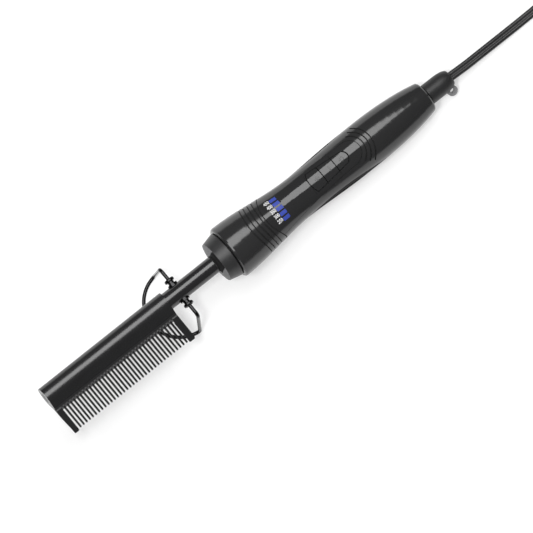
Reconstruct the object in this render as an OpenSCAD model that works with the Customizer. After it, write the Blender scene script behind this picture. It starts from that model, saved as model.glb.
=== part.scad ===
// Electric hot comb that rests on a folding wire stand, with its power cord folded into a hank.
// Lengths are in millimetres. The handle's own axis runs along local x, from the collar at x = 0
// to the cord, with the teeth on -y and the controls on +z. place() lays it on its stand.

/* [Comb] */
// Length of the comb bar
comb_l = 88.8; // [86:0.2:110]
// Radius of the round spine
spine_r = 6.6; // [6.5:0.1:8]
// Distance from the axis to the tooth tips
tip_reach = 25.6; // [22:0.1:32]
// How far the end guards reach past the teeth
guard_over = 0.8; // [0:0.1:1.5]
// Distance from the axis to the roots of the gaps
root_reach = 9.5; // [9:0.1:12]
// Distance from the axis to where the sloping flats end
flat_reach = 9.4; // [8.5:0.1:9.6]
// Thickness of the teeth at their roots
root_t = 2.4; // [2:0.1:3]
// Thickness of the teeth at their tips
tip_t = 1.1; // [0.8:0.1:1.6]
// Width of one tooth
tooth_w = 1; // [0.8:0.02:1.2]
// Gap between two teeth
gap_w = 1.29; // [1:0.01:1.6]
// How far the sloping floor of each gap runs out between the teeth
web_l = 1; // [0.6:0.1:2]
// Least width of the two end guards
guard_w = 3.4; // [3:0.1:6]
// Width of the tip guard at its lower end
guard_tip_w = 3.1; // [2:0.1:3.3]
// How much wider the guard beside the handle is below its root
guard_lean = 0.4; // [0:0.05:0.5]
// Chamfer at the foot of the guard beside the handle
guard_cut = 0.6; // [0.5:0.1:2.8]
// Radius of the heater bore
heater_bore_r = 3.3; // [3.2:0.1:4]
// Radius of the heater rod
heater_r = 3.2; // [2.5:0.1:3.2]
// Gap between the heater rod and the plug in the tip
heater_gap = 2.8; // [1:0.1:20]
// Length of the plug in the tip of the bore
tip_plug_l = 3; // [2:0.5:5]

/* [Neck] */
// Length of the neck between the bar and the collar
neck_l = 36.7; // [34:0.1:50]
// Outer radius of the neck tube
tube_r = 5.3; // [4.8:0.1:5.4]
// Wall of the neck tube
tube_wall = 0.8; // [0.6:0.1:1.2]
// Depth to which the tube enters the bar
tube_seat = 12; // [8:0.5:14]
// Distance from the collar to the stand's hinge axis
hinge_back = 27.4; // [22:0.2:29]

/* [Stand] */
// Angle between the handle and the table
pitch = 7; // [5:0.5:9]
// Radius of the stand's wire
wire_r = 1.1; // [0.7:0.05:1.2]
// Half-width of the stand at its shoulders
shoulder_y = 17; // [14:0.5:19]
// Radius of the foot's arc
foot_r = 20.6; // [18:0.2:22]
// Half-angle of the foot's arc
foot_half = 76; // [70:1:80]
// Straight stretch between the foot's arc and its corner
foot_lead = 3.2; // [3:0.1:5]
// Bend radius of the shoulders and corners
bend_r = 2.6; // [2.2:0.1:2.8]
// Radial clearance of the wire in its bushings
wire_fit = 0.05; // [0.02:0.01:0.1]
// Radius of the bushings' flanges
bushing_flange_r = 3.1; // [2.8:0.1:3.6]
// Radius of the bushings' barrels
bushing_r = 1.9; // [1.7:0.05:2.2]
// Distance from the axis to the bushings' outer faces
bushing_y = 9.7; // [9.2:0.1:11]

/* [Handle] */
// Largest radius at the nose
nose_r = 16.8; // [16:0.1:18]
// Round of the nose's front edge
nose_round = 1.7; // [1.2:0.1:1.9]
// Radius of the waist on the upper side
top_waist_r = 12.5; // [12:0.05:13]
// Place of the waist on the upper side
top_waist_x = 62.3; // [56:0.1:68]
// Radius of the belly on the upper side
top_belly_r = 13.9; // [13.2:0.1:14.5]
// Place of the belly on the upper side
top_belly_x = 113; // [108:0.5:117]
// Radius of the waist on the lower side
low_waist_r = 12.5; // [12.2:0.05:13.2]
// Place of the waist on the lower side
low_waist_x = 56; // [50:0.5:62]
// Radius of the belly on the lower side
low_belly_r = 13.9; // [13.5:0.1:14.8]
// Place where the lower belly begins
low_belly_x = 99; // [94:0.5:104]
// Place where the lower belly ends
low_belly_end = 109.5; // [105:0.5:114]
// Radius at the rear edge
rear_r = 9.9; // [9:0.1:10.4]
// Place of the rear edge
rear_x = 153.5; // [150:0.1:158]
// Round of the rear edge
rear_round = 2.2; // [1:0.1:2.4]
// Wall of the two shells
wall = 2.2; // [2:0.1:2.4]
// Height of the lip on the lower shell
lip_h = 1.2; // [0.8:0.1:1.6]
// Thickness of that lip
lip_t = 0.9; // [0.7:0.1:1.2]
// Clearance round the lip
lip_gap = 0.1; // [0.05:0.05:0.2]

/* [Collar] */
// Length of the cone
collar_l = 8.1; // [7:0.1:9]
// Radius of its front edge
collar_front_r = 12.8; // [12:0.1:13.2]
// Radius of its rear edge
collar_rear_r = 14.6; // [14.2:0.1:15]
// Height of its domed front face
collar_dome = 1; // [0.5:0.1:1.5]
// Wall of the cone
collar_wall = 1.6; // [1.2:0.1:2]
// Shadow gap between the cone and the shells
collar_gap = 0.4; // [0.2:0.1:0.6]
// Radius of the skirt that enters the shells
skirt_r = 12.6; // [12:0.1:12.8]

/* [Grooves] */
// Number of grip grooves
groove_n = 4; // [2:1:4]
// Place of the first groove
groove_x = 24.9; // [22:0.1:25]
// Distance between grooves
groove_step = 2.83; // [2:0.01:2.9]
// Plan radius of the grooves
groove_r = 33.5; // [28:0.5:40]
// Width of the grooves
groove_w = 0.75; // [0.5:0.05:1]
// Depth of the grooves
groove_d = 0.35; // [0.2:0.05:0.5]
// Number of arcs behind the panel
arc_n = 3; // [1:1:3]
// Radius of the first arc behind the panel
arc_r = 10.3; // [9.8:0.1:11]
// Distance between these arcs
arc_step = 2.7; // [2:0.1:3]
// Half-angle of the first arc
arc_half = 60; // [40:1:64]

/* [Controls] */
// Front apex of the panel
panel_x = 35.2; // [35:0.1:37]
// Plan radius of its front edge
panel_front_r = 20.2; // [19:0.2:26]
// Half-width of its front corners
panel_front_w = 12.8; // [12.6:0.1:13.2]
// Half-width of its round rear end
panel_rear_w = 7.5; // [7.2:0.1:8.2]
// Centre of its round rear end
panel_rear_x = 97.2; // [97:0.2:99]
// Thickness of the panel
panel_t = 1.3; // [1:0.1:1.5]
// Gap round the panel
panel_gap = 0.1; // [0.05:0.05:0.2]
// Number of light windows
led_n = 5; // [3:1:5]
// Angle between light windows
led_step = 14.2; // [12:0.1:15]
// Front edge of the light windows
led_x = 44; // [43:0.2:46]
// Length of a light window
led_l = 4.4; // [4:0.1:5]
// Width of a light window
led_w = 2.3; // [1.8:0.1:2.6]
// Front apex of the buttons
keys_x = 68.4; // [67:0.1:70]
// Plan radius of the front button's front edge
keys_front_r = 13.3; // [12:0.1:30]
// Half-width of the front button at its front edge
keys_front_w = 6.6; // [6:0.1:7]
// Half-width of the rear button
keys_rear_w = 4.3; // [4:0.1:4.8]
// Centre of the rear button's round end
keys_rear_x = 91.8; // [91:0.1:93]
// Parting between the front and the middle button
part_one = 77.5; // [76:0.1:79]
// Parting between the middle and the rear button
part_two = 86.9; // [85:0.1:88]
// Gap round each button
key_gap = 0.3; // [0.3:0.05:0.4]
// Gap between two buttons
key_split = 0.4; // [0.3:0.05:0.6]
// Height of the buttons above the panel
key_proud = 0.15; // [0.1:0.05:0.4]
// Travel of the buttons
key_travel = 0.5; // [0.3:0.1:0.5]

/* [Cord end] */
// Radius of the turning sleeve
sleeve_r = 6.4; // [6.2:0.1:7]
// Length of the sleeve
sleeve_l = 17.5; // [16:0.5:20]
// Length of its rounded end
sleeve_round = 8; // [6:0.5:9]
// Radius at its end
sleeve_end_r = 3.9; // [3.8:0.1:4.4]
// Radius of the journal that turns in the bearing
journal_r = 5; // [4.6:0.1:5.1]
// Radial clearance of the journal
journal_fit = 0.05; // [0.03:0.01:0.1]
// Gap between the sleeve and the shells
sleeve_gap = 0.3; // [0.2:0.1:0.5]
// Outer radius of the hanging eye
eye_r = 3.2; // [3:0.1:3.6]
// Radius of the hole in the hanging eye
eye_hole_r = 1.6; // [1.2:0.1:1.8]
// Thickness of the hanging eye
eye_t = 3; // [2.4:0.1:3.4]
// Half-width of the flat twin cord
cord_w = 2.8; // [2.8:0.1:3]
// Half-thickness of the flat twin cord
cord_h = 1.4; // [1.4:0.1:1.5]

/* [Hank and plug] */
// Height of the wound hank
hank_h = 9.3; // [8.4:0.1:10]
// Outer radius of the hank's two loops
hank_r = 25.2; // [24:0.1:26]
// Half-width of the hank's waist
hank_waist = 14; // [12:0.5:18]
// Distance from the middle of the hank to its loop centres
hank_half = 36; // [34:1:40]
// Width of the tie band
tie_w = 12; // [8:1:16]
// Thickness of the tie band
tie_t = 0.8; // [0.5:0.1:1]
// Length of the plug's body
plug_l = 24; // [20:1:28]
// Width of the plug's body
plug_w = 20; // [19:1:22]
// Height of the plug's body
plug_h = 11; // [10:0.5:13]
// Length of the plug's strain relief
relief_l = 20; // [15:1:30]
// Radius of the strain relief at the cord
relief_r = 3.3; // [3.1:0.1:3.6]
// Length of the blades
blade_l = 17; // [15:0.5:18]
// Width of a blade
blade_w = 6.35; // [6:0.05:6.6]
// Thickness of a blade
blade_t = 1.5; // [1.4:0.05:1.6]
// Distance between the blades' middles
blade_step = 12.7; // [12:0.1:13]

/* [Hidden] */
$fn = 72;
fit = 0.05;          // clearance between fixed round pieces
clear = 0.3;         // clearance between pieces that only lie beside each other

comb_x0 = -neck_l - comb_l;
comb_x1 = -neck_l;
tube_x0 = comb_x1 - tube_seat;
tooth_pitch = tooth_w + gap_w;
tooth_n = floor((comb_l - 2 * guard_w - gap_w) / tooth_pitch);
end_w = (comb_l - tooth_n * tooth_pitch - gap_w) / 2;
edge_reach = root_reach + gap_w / 2;
guard_reach = tip_reach + guard_over;

face_x = collar_l + collar_gap;
nose_x = face_x + nose_round;
end_x = rear_x + rear_round;
sleeve_x0 = end_x + sleeve_gap;
sleeve_x1 = sleeve_x0 + sleeve_l;
sleeve_wall_x = sleeve_x1 - sleeve_round;
cord_seat = 4;

// Radius of the handle at x, above and below the parting plane
function blend(a, b, t) = a + (b - a) * (1 - cos(180 * t)) / 2;
function tail_l(r, x) = (rear_x - x) / sqrt(1 - pow(rear_r / r, 2));
function tail(r, x0, x) = r * sqrt(1 - pow((x - x0) / tail_l(r, x0), 2));
function top_r(x) =
    x < nose_x ? nose_r
    : x < top_waist_x ? blend(nose_r, top_waist_r, (x - nose_x) / (top_waist_x - nose_x))
    : x < top_belly_x ? blend(top_waist_r, top_belly_r, (x - top_waist_x) / (top_belly_x - top_waist_x))
    : tail(top_belly_r, top_belly_x, x);
function low_r(x) =
    x < nose_x ? nose_r
    : x < low_waist_x ? blend(nose_r, low_waist_r, (x - nose_x) / (low_waist_x - nose_x))
    : x < low_belly_x ? blend(low_waist_r, low_belly_r, (x - low_waist_x) / (low_belly_x - low_waist_x))
    : x < low_belly_end ? low_belly_r
    : tail(low_belly_r, low_belly_end, x);
function steps(a, b, n) = [for (i = [1:n]) a + (b - a) * i / n];
top_xs = concat([nose_x], steps(nose_x, top_waist_x, 8), steps(top_waist_x, top_belly_x, 6),
    steps(top_belly_x, rear_x, 8));
low_xs = concat([nose_x], steps(nose_x, low_waist_x, 8), steps(low_waist_x, low_belly_x, 6),
    steps(low_belly_x, low_belly_end, 1), steps(low_belly_end, rear_x, 8));

// The handle lies on the stand's foot and on the lowest point of its lower shell
axis_z = max([for (x = low_xs) low_r(x) * cos(pitch) + x * sin(pitch)]);
pivot_z = axis_z + hinge_back * sin(pitch);
leg_l = (pivot_z - wire_r) / cos(pitch);
min_x = comb_x0 * cos(pitch) - spine_r * sin(pitch);
max_x = sleeve_x1 * cos(pitch) + sleeve_end_r * sin(pitch);
mid_x = (min_x + max_x) / 2;
foot_y = foot_r * sin(foot_half) + foot_lead * cos(foot_half);
mid_y = (foot_y + wire_r - 0.25 - guard_reach) / 2;

tube_side_r = bushing_r + fit;
wire_lap = 0.05;     // how far straight wire laps over a bend
wire_step = 0.004;   // how much thinner the bends are drawn, so that the laps close
holder_r = 9;
holder_lead = 2.5;
holder_l = 16;
holder_seat = 4.5;
holder_flange_l = 3;
holder_x = [face_x - holder_lead, face_x - holder_lead + holder_l];
holder_flange = [face_x + holder_seat, face_x + holder_seat + holder_flange_l];
holder_flange_r = top_r(holder_flange[1]) - wall - 0.35;
rib_t = 1.3;
screw_x = [face_x + 22.5, top_belly_x + 9];
screw_r = 1.45;
screw_head_r = 2.7;
screw_head_h = 2;
screw_sink = 3.3;
screw_top = 7;
boss_r = 3.1;
boss_foot_r = 4.4;
board_x = [42, 112];
board_z = 2;
board_t = 1.2;
board_w = 8;
relay_x = board_x[0] + 10;
relay_l = 11;
relay_w = 4.6;
relay_h = 4.8;
cap_l = 8;
cap_r = 2.2;
fuse_x = board_x[1] - 14;
fuse_l = 4.4;
diode_x = board_x[1] - 7;
diode_l = 5.5;
diode_r = 1.6;
diode_y = 2.5;
post_x = [50, 104];
switch_w = 6;
switch_h = 3.5;
plunger_h = 1.5;
stem_r = 1.5;
stem_z = board_z + board_t + switch_h + plunger_h + key_travel + 0.1;
flange_w = 0.6;
flange_t = 0.8;
pocket_d = panel_t + 0.05;
led_r = 1;
bearing_x = [141, rear_x - 0.5];
bearing_r = 6.4;
bearing_flange_r = top_r(bearing_x[0] + 2) - wall - 0.4;
journal_x0 = 138;
retainer_t = 2.5;
pin_x0 = 128;
pin_r = 1.3;
pin_ring_r = 2.6;
pin_ring_x = 134;
contact_x = [130, 135];
lead_r = 0.55;
sensor_lead_r = 0.35;

hank_x = 277;
hank_y = 24.4;
lead_y = 2;
lead_end_x = 224;
tail_angle = -37;
tail_run = 16.5;
tail_z = 6.6;
plug_x = 288;
plug_y = -13;
plug_mid_z = plug_h / 2;

// Where the cord leaves the sleeve, and the points that it follows over the table
seat_x = sleeve_x1 - cord_seat;
cord_points = concat(
    [[seat_x * cos(pitch) - mid_x, -mid_y, axis_z - seat_x * sin(pitch)],
     [sleeve_x1 * cos(pitch) - mid_x, -mid_y, axis_z - sleeve_x1 * sin(pitch)]],
    [[154, 2, 7.2], [160, 2, 6.4], [167, 2, 5.5], [174, 2, 4.6], [181, 2, 3.7], [188, 2, 2.8],
     [195, 2, 2.1], [202, 2, 1.6], [209, 2, 1.4], [216, 2, 1.4], [lead_end_x, 2, 1.4]]);
tail_dir = [cos(tail_angle), sin(tail_angle), 0];
tail_root = [hank_x - hank_half, hank_y, tail_z]
    + (hank_r - cord_w) * [sin(tail_angle), -cos(tail_angle), 0];
tail_start = tail_root + tail_run * tail_dir;
tail_points = concat([tail_start, tail_start + tail_dir],
    [[246, -7.5, 6.1], [251, -10.5, 5.6], [256, -12.5, 5.4], [262, plug_y, plug_mid_z],
     [plug_x - relief_l, plug_y, plug_mid_z]]);

// Lays the handle's own frame on the table
module place() {
    translate([-mid_x, -mid_y, axis_z]) rotate([0, pitch, 0]) children();
}

// Round bar along x
module rod(x0, x1, r) {
    translate([x0, 0, 0]) rotate([0, 90, 0]) cylinder(h = x1 - x0, r = r);
}

// Solid of revolution about x: the child's first coordinate is the radius, its second is x
module revolve() {
    rotate([0, 90, 0]) rotate_extrude() children();
}

// The same, but only the half above (side = 1) or below (side = -1) the parting plane
module half_revolve(side) {
    rotate([0, 90, 0]) rotate([0, 0, side * 90]) rotate_extrude(angle = 180) children();
}

// Prism over a plan outline, through the upper half of the handle
module upright(h = 30) {
    linear_extrude(height = h) children();
}

// Solid between the axis and the surface that lies d below the handle's upper side
module under_top(d, x0 = 20, x1 = 125) {
    revolve() polygon(concat([[0, x0]], [[top_r(x0) - d, x0]],
        [for (x = top_xs) if (x > x0 + 0.5 && x < x1 - 0.5) [top_r(x) - d, x]],
        [[top_r(x1) - d, x1], [0, x1]]));
}
module under_low(d, x0 = 20, x1 = 50) {
    revolve() polygon(concat([[0, x0]], [[low_r(x0) - d, x0]],
        [for (x = low_xs) if (x > x0 + 0.5 && x < x1 - 0.5) [low_r(x) - d, x]],
        [[low_r(x1) - d, x1], [0, x1]]));
}

/* Comb */

// The blade below the spine: two sloping flats that end in a thin edge
module blade_section() {
    reach = norm([flat_reach, root_t / 2]);
    a = atan2(root_t / 2, -flat_reach) - acos(spine_r / reach);
    touch = 0.996 * spine_r * [cos(a), sin(a)];
    polygon([[0, 0], touch, [-flat_reach, root_t / 2], [-edge_reach, root_t / 2],
        [-edge_reach, -root_t / 2], [-flat_reach, -root_t / 2], [touch[0], -touch[1]]]);
}

// A section drawn in (y, z) and drawn out along the whole bar
module along_comb() {
    translate([comb_x0, 0, 0]) rotate([90, 0, 90]) linear_extrude(height = comb_l) children();
}

function tooth_x(i) = comb_x0 + end_w + gap_w + tooth_w / 2 + i * tooth_pitch;

// Sloping floor of one gap, which runs out thin between the teeth
module gap_web() {
    translate([-gap_w / 2, 0, 0]) rotate([90, 0, 90]) linear_extrude(height = gap_w)
        polygon([[-root_reach + 0.5, root_t / 2 - 0.2], [-edge_reach - web_l, -root_t / 2 + 0.45],
            [-edge_reach - web_l, -root_t / 2 + 0.2], [-root_reach + 0.5, -root_t / 2 + 0.1]]);
}

module comb_head() {
    color("#1c1c1d") place() {
        difference() {
            union() {
                rod(comb_x0, comb_x1, spine_r);
                along_comb() blade_section();
            }
            rod(comb_x0 - 1, comb_x1, heater_bore_r);
            rod(tube_x0, comb_x1 + 1, tube_r + fit);
            for (i = [0:tooth_n])
                translate([tooth_x(i) - tooth_pitch / 2, -edge_reach, -root_t])
                    cylinder(h = 2 * root_t, r = gap_w / 2);
        }
        for (i = [0:tooth_n]) translate([tooth_x(i) - tooth_pitch / 2, 0, 0]) gap_web();
    }
}

// Plan outlines of one tooth and of the two end guards, from the bar's edge to the tips
module tooth_outline() {
    translate([-tooth_w / 2, -tip_reach + tooth_w / 2])
        square([tooth_w, tip_reach - edge_reach - tooth_w / 2]);
    translate([0, -tip_reach + tooth_w / 2]) circle(r = tooth_w / 2);
}
module tip_guard_outline() {
    polygon(concat([[0, -edge_reach], [0, -edge_reach - 1.6]],
        [for (t = [0.25, 0.5, 0.75])
            [blend(0, end_w - guard_tip_w, t), -edge_reach - 1.6 - t * (guard_reach - edge_reach - 2)]],
        [[end_w - guard_tip_w, -guard_reach + 0.4], [end_w - guard_tip_w + 0.4, -guard_reach],
         [end_w - 0.4, -guard_reach], [end_w, -guard_reach + 0.4], [end_w, -edge_reach]]));
}
module rear_guard_outline() {
    polygon([[0, -edge_reach], [0, -edge_reach - web_l - 0.1], [-guard_lean, -edge_reach - web_l - 1.5],
        [-guard_lean, -guard_reach + 0.4], [0.4 - guard_lean, -guard_reach], [end_w - guard_cut, -guard_reach],
        [end_w, -guard_reach + 1.7 * guard_cut], [end_w, -edge_reach]]);
}
module tooth_wedge() {
    along_comb() polygon([[-edge_reach, root_t / 2], [-guard_reach - 1, tip_t / 2],
        [-guard_reach - 1, -tip_t / 2], [-edge_reach, -root_t / 2]]);
}

module comb_teeth() {
    color("#1c1c1d") place() intersection() {
        translate([0, 0, -root_t]) linear_extrude(height = 2 * root_t) {
            translate([comb_x0, 0]) tip_guard_outline();
            translate([comb_x1 - end_w, 0]) rear_guard_outline();
            for (i = [0:tooth_n - 1]) translate([tooth_x(i), 0]) tooth_outline();
        }
        tooth_wedge();
    }
}

module tip_plug() {
    color("#242425") place() rod(comb_x0, comb_x0 + tip_plug_l, heater_bore_r - 0.02);
}

heater_x1 = tube_x0 - 1;
heater_x0 = comb_x0 + tip_plug_l + heater_gap;
module heater_rod() {
    color("#b9bbbd") place() rod(heater_x0, heater_x1, heater_r);
}

sensor_z = 1.9;
sensor_x1 = heater_x1 + 4;
module temperature_sensor() {
    color("#c9a34a") place() translate([0, 0, sensor_z]) rod(heater_x1, sensor_x1, 1.2);
}

/* Neck and stand */

module neck_tube() {
    color("#1f1f20") place() difference() {
        rod(tube_x0, holder_x[1] + 2, tube_r);
        rod(tube_x0 - 1, holder_x[1] + 3, tube_r - tube_wall);
        translate([-hinge_back, 0, 0]) rotate([90, 0, 0])
            cylinder(h = 3 * tube_r, r = tube_side_r, center = true);
    }
}

// Flanged bushing that stands on the tube's side, with its shank through the wall
module bushing(side) {
    inner = tube_r - tube_wall - 0.6;
    base = tube_r + 0.8;
    neck = bushing_y - 1.9;
    color("#c9cbce") place() translate([-hinge_back, 0, 0]) difference() {
        rotate([-side * 90, 0, 0]) union() {
            translate([0, 0, inner]) cylinder(h = bushing_y - inner - 0.5, r = bushing_r);
            difference() {
                translate([0, 0, base - 1.9]) cylinder(h = 1.9, r = bushing_flange_r);
                rotate([0, 90, 0]) cylinder(h = 4 * bushing_flange_r, r = tube_r + 0.03, center = true);
            }
            translate([0, 0, neck]) rotate_extrude() polygon([[0, 0], [bushing_flange_r - 0.4, 0],
                [bushing_flange_r, 0.4], [bushing_flange_r, 1.3], [bushing_flange_r - 0.2, 1.7],
                [bushing_flange_r - 0.6, 1.9], [1.5, 1.5], [0, 1.5]]);
        }
        rotate([-side * 90, 0, 0]) translate([0, 0, inner - 1])
            cylinder(h = bushing_y, r = wire_r + wire_fit);
    }
}
module stand_bushing_left() {
    bushing(1);
}
module stand_bushing_right() {
    bushing(-1);
}

function unit(v) = v / norm(v);

// Straight wire from p to q, which laps a little over the bends at its ends
module straight(p, q) {
    d = q - p;
    translate(p) rotate([0, acos(d[2] / norm(d)), atan2(d[1], d[0])]) translate([0, 0, -wire_lap])
        cylinder(h = norm(d) + 2 * wire_lap, r = wire_r);
}

// How much of each leg a bend at a corner takes
function setback(d1, d2) = bend_r * tan(acos(d1 * d2) / 2);

// Bend at corner b, from direction d1 into direction d2
module bend(b, d1, d2) {
    n = unit(d2 - (d1 * d2) * d1);
    c = b - setback(d1, d2) * d1 + bend_r * n;
    z = cross(-n, d1);
    multmatrix([[-n[0], d1[0], z[0], c[0]], [-n[1], d1[1], z[1], c[1]], [-n[2], d1[2], z[2], c[2]],
        [0, 0, 0, 1]])
        rotate_extrude(angle = acos(d1 * d2)) translate([bend_r, 0]) circle(r = wire_r - wire_step);
}

// One leg: from its end in the bushing, over the shoulder and the corner, to the foot's arc
corner_x = -leg_l * sin(pitch);
foot_z = -leg_l * cos(pitch);
foot_c = [corner_x + foot_r * cos(foot_half) - foot_lead * sin(foot_half), 0, foot_z];
module leg(side) {
    start = [0, side * (tube_r - 0.6), 0];
    shoulder = [0, side * shoulder_y, 0];
    corner = [corner_x, side * foot_y, foot_z];
    out = [0, side, 0];
    down = unit(corner - shoulder);
    ahead = [-sin(foot_half), -side * cos(foot_half), 0];
    straight(start, shoulder - setback(out, down) * out);
    bend(shoulder, out, down);
    straight(shoulder + setback(out, down) * down, corner - setback(down, ahead) * down);
    bend(corner, down, ahead);
    straight(corner + setback(down, ahead) * ahead, corner + foot_lead * ahead);
}
module wire_stand() {
    color("#d3d5d8") translate([-mid_x - hinge_back * cos(pitch), -mid_y, pivot_z]) {
        leg(1);
        leg(-1);
        translate(foot_c) rotate([0, 0, 180 - foot_half]) rotate_extrude(angle = 2 * foot_half)
            translate([foot_r, 0]) circle(r = wire_r - wire_step);
    }
}

/* Collar and its holder */

module nose_collar() {
    hole = tube_r + 0.25;
    color("#5b5c5e") place() revolve() polygon(concat(
        [[hole, -collar_dome + 0.2], [hole + 0.3, -collar_dome]],
        [for (t = [0.25, 0.5, 0.75])
            [hole + 0.3 + t * (collar_front_r - 0.6 - hole), -collar_dome * (1 - t * t)]],
        [[collar_front_r - 0.3, 0], [collar_front_r, 0.35],
         [collar_rear_r, collar_l - 0.3], [collar_rear_r - 0.3, collar_l], [skirt_r, collar_l],
         [skirt_r, holder_flange[0] - rib_t - 0.3], [skirt_r - collar_wall, holder_flange[0] - rib_t - 0.3],
         [skirt_r - collar_wall, collar_wall + 0.6], [hole, collar_wall]]));
}

module neck_holder() {
    color("#3a3a3c") place() difference() {
        union() {
            rod(holder_x[0], holder_x[1], holder_r);
            rod(holder_flange[0], holder_flange[1], holder_flange_r);
        }
        rod(holder_x[0] - 1, holder_x[1] + 1, tube_r + fit);
    }
}

/* Shells */

// Half-ring ribs that hold the holder's flange
module holder_ribs(side, outer) {
    for (x = [holder_flange[0] - rib_t - fit, holder_flange[1] + fit])
        half_revolve(side) translate([holder_r + fit, x]) square([outer - holder_r, rib_t]);
}

// Half shell: the outer profile, the wall and the two open ends
function inner_top(x) = top_r(x) - wall;
function inner_low(x) = top_r(x) - wall - lip_gap - 0.2;
module shell_profile(xs, upper) {
    open_r = skirt_r + 0.15;
    end_r = journal_r + 0.35;
    outer = [for (x = xs) [upper ? top_r(x) : low_r(x), x]];
    inner = [for (x = xs) if (x > face_x + wall && x < end_x - wall)
        [upper ? inner_top(x) : inner_low(x), x]];
    nose = nose_x - face_x;
    polygon(concat([[open_r, face_x]],
        [for (a = [0, 30, 60]) [nose_r - nose + nose * sin(a), nose_x - nose * cos(a)]],
        outer,
        [for (a = [30, 60, 90]) [rear_r - rear_round * (1 - cos(a)), rear_x + rear_round * sin(a)]],
        [[end_r, end_x], [end_r, end_x - wall], [inner_low(rear_x - 1) - 0.3, end_x - wall]],
        [for (i = [len(inner) - 1:-1:0]) inner[i]],
        [[inner_low(nose_x), face_x + wall], [open_r, face_x + wall]]));
}

// Arc band in plan, with its centre at the origin, opening towards -x when turned by 180
module plan_arc(r, w, half) {
    intersection() {
        difference() {
            circle(r = r + w / 2, $fn = 180);
            circle(r = r - w / 2, $fn = 180);
        }
        polygon([[0, 0], 2 * r * [cos(half), -sin(half)], [2 * r, 0], 2 * r * [cos(half), sin(half)]]);
    }
}
module grip_grooves() {
    for (i = [0:groove_n - 1])
        translate([groove_x + i * groove_step + groove_r, 0]) rotate([0, 0, 180])
            plan_arc(groove_r, groove_w, 40);
}

function keys_w(x) = keys_front_w + (keys_rear_w - keys_front_w) * (x - keys_x) / (keys_rear_x - keys_x);
module keys_outline(x0, x1, g) {
    front_cx = keys_x + keys_front_r;
    intersection() {
        union() {
            polygon([[x0, -keys_w(x0) - g], [x1, -keys_w(x1) - g], [x1, keys_w(x1) + g],
                [x0, keys_w(x0) + g]]);
            if (x1 >= keys_rear_x) translate([keys_rear_x, 0]) circle(r = keys_rear_w + g);
        }
        union() {
            if (x0 < part_one - key_split) translate([front_cx, 0]) circle(r = front_cx - x0, $fn = 120);
            translate([x0 < part_one - key_split ? front_cx : x0 - 1, -20]) square([100, 40]);
        }
    }
}

function panel_w(x) = panel_rear_w
    + (panel_front_w - panel_rear_w) * pow((panel_rear_x - x) / (panel_rear_x - panel_corner_x), 1.75);
panel_corner_x = panel_x + panel_front_r - sqrt(pow(panel_front_r, 2) - pow(panel_front_w, 2));
module panel_outline(g) {
    xs = concat([panel_corner_x], steps(panel_corner_x, panel_rear_x, 9));
    intersection() {
        union() {
            polygon(concat([[panel_x - 2, -panel_front_w + g]], [for (x = xs) [x, -panel_w(x) + g]],
                [for (i = [len(xs) - 1:-1:0]) [xs[i], panel_w(xs[i]) - g]],
                [[panel_x - 2, panel_front_w - g]]));
            translate([panel_rear_x, 0]) circle(r = panel_rear_w - g);
        }
        union() {
            translate([panel_x + panel_front_r, 0]) circle(r = panel_front_r - g, $fn = 120);
            translate([panel_x + panel_front_r, -20]) square([100, 40]);
        }
    }
}

// Radial block about the axis for one light window
module led_block(i, g) {
    rotate([(i - (led_n - 1) / 2) * led_step, 0, 0])
        translate([led_x - g, -led_w / 2 - g, 5]) cube([led_l + 2 * g, led_w + 2 * g, 15]);
}

module boss(x, side) {
    reach = side > 0 ? inner_top(x) + 0.5 : inner_low(x) + 0.5;
    translate([x, 0, side > 0 ? 0 : -reach]) cylinder(h = reach, r = boss_r);
    if (side < 0) translate([x, 0, -reach]) cylinder(h = reach - low_r(x) + screw_sink + 1.6, r = boss_foot_r);
}

module upper_shell() {
    color("#1d1d1f") place() difference() {
        union() {
            half_revolve(1) shell_profile(top_xs, true);
            holder_ribs(1, inner_top(holder_flange[1]) + 0.5);
            for (x = screw_x) boss(x, 1);
        }
        for (x = screw_x) translate([x, 0, -1]) cylinder(h = screw_top + 1.5, r = screw_r + fit);
        difference() {
            upright() grip_grooves();
            under_top(groove_d);
        }
        difference() {
            upright() for (i = [0:arc_n - 1]) translate([panel_rear_x, 0])
                plan_arc(arc_r + i * arc_step, 0.8, arc_half - 6 * i);
            under_top(groove_d);
        }
        difference() {
            upright() panel_outline(-panel_gap);
            under_top(pocket_d);
        }
        upright() keys_outline(keys_x - flange_w - clear, keys_rear_x, flange_w + clear);
        translate([led_x - 0.6, -8, 5]) cube([led_l + 1.2, 16, 15]);
    }
}

module lower_shell() {
    color("#1a1a1b") place() difference() {
        union() {
            half_revolve(-1) shell_profile(low_xs, false);
            holder_ribs(-1, inner_low(holder_flange[1]) + 0.5);
            for (x = screw_x) boss(x, -1);
            for (x = post_x, y = [-5, 5]) translate([x, y, 0]) mirror([0, 0, 1])
                translate([0, 0, -board_z]) cylinder(h = board_z + inner_low(x) - 0.4, r = 1.5);
            intersection() {
                revolve() lip_profile();
                translate([0, -20, -1.5]) cube([200, 40, 1.5 + lip_h]);
            }
        }
        for (x = screw_x) {
            translate([x, 0, -30]) cylinder(h = 40, r = screw_r + fit);
            translate([x, 0, -30]) cylinder(h = 30 - low_r(x) + screw_sink, r = screw_head_r + clear);
        }
        difference() {
            translate([0, 0, -30]) upright() grip_grooves();
            under_low(groove_d);
        }
    }
}

// Lip that stands up inside the upper shell
module lip_profile() {
    xs = [for (x = top_xs) if (x > holder_flange[1] + rib_t + 1 && x < bearing_x[0] - 1) x];
    polygon(concat([for (x = xs) [inner_top(x) - lip_gap, x]],
        [for (i = [len(xs) - 1:-1:0]) [inner_top(xs[i]) - lip_gap - lip_t, xs[i]]]));
}

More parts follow.
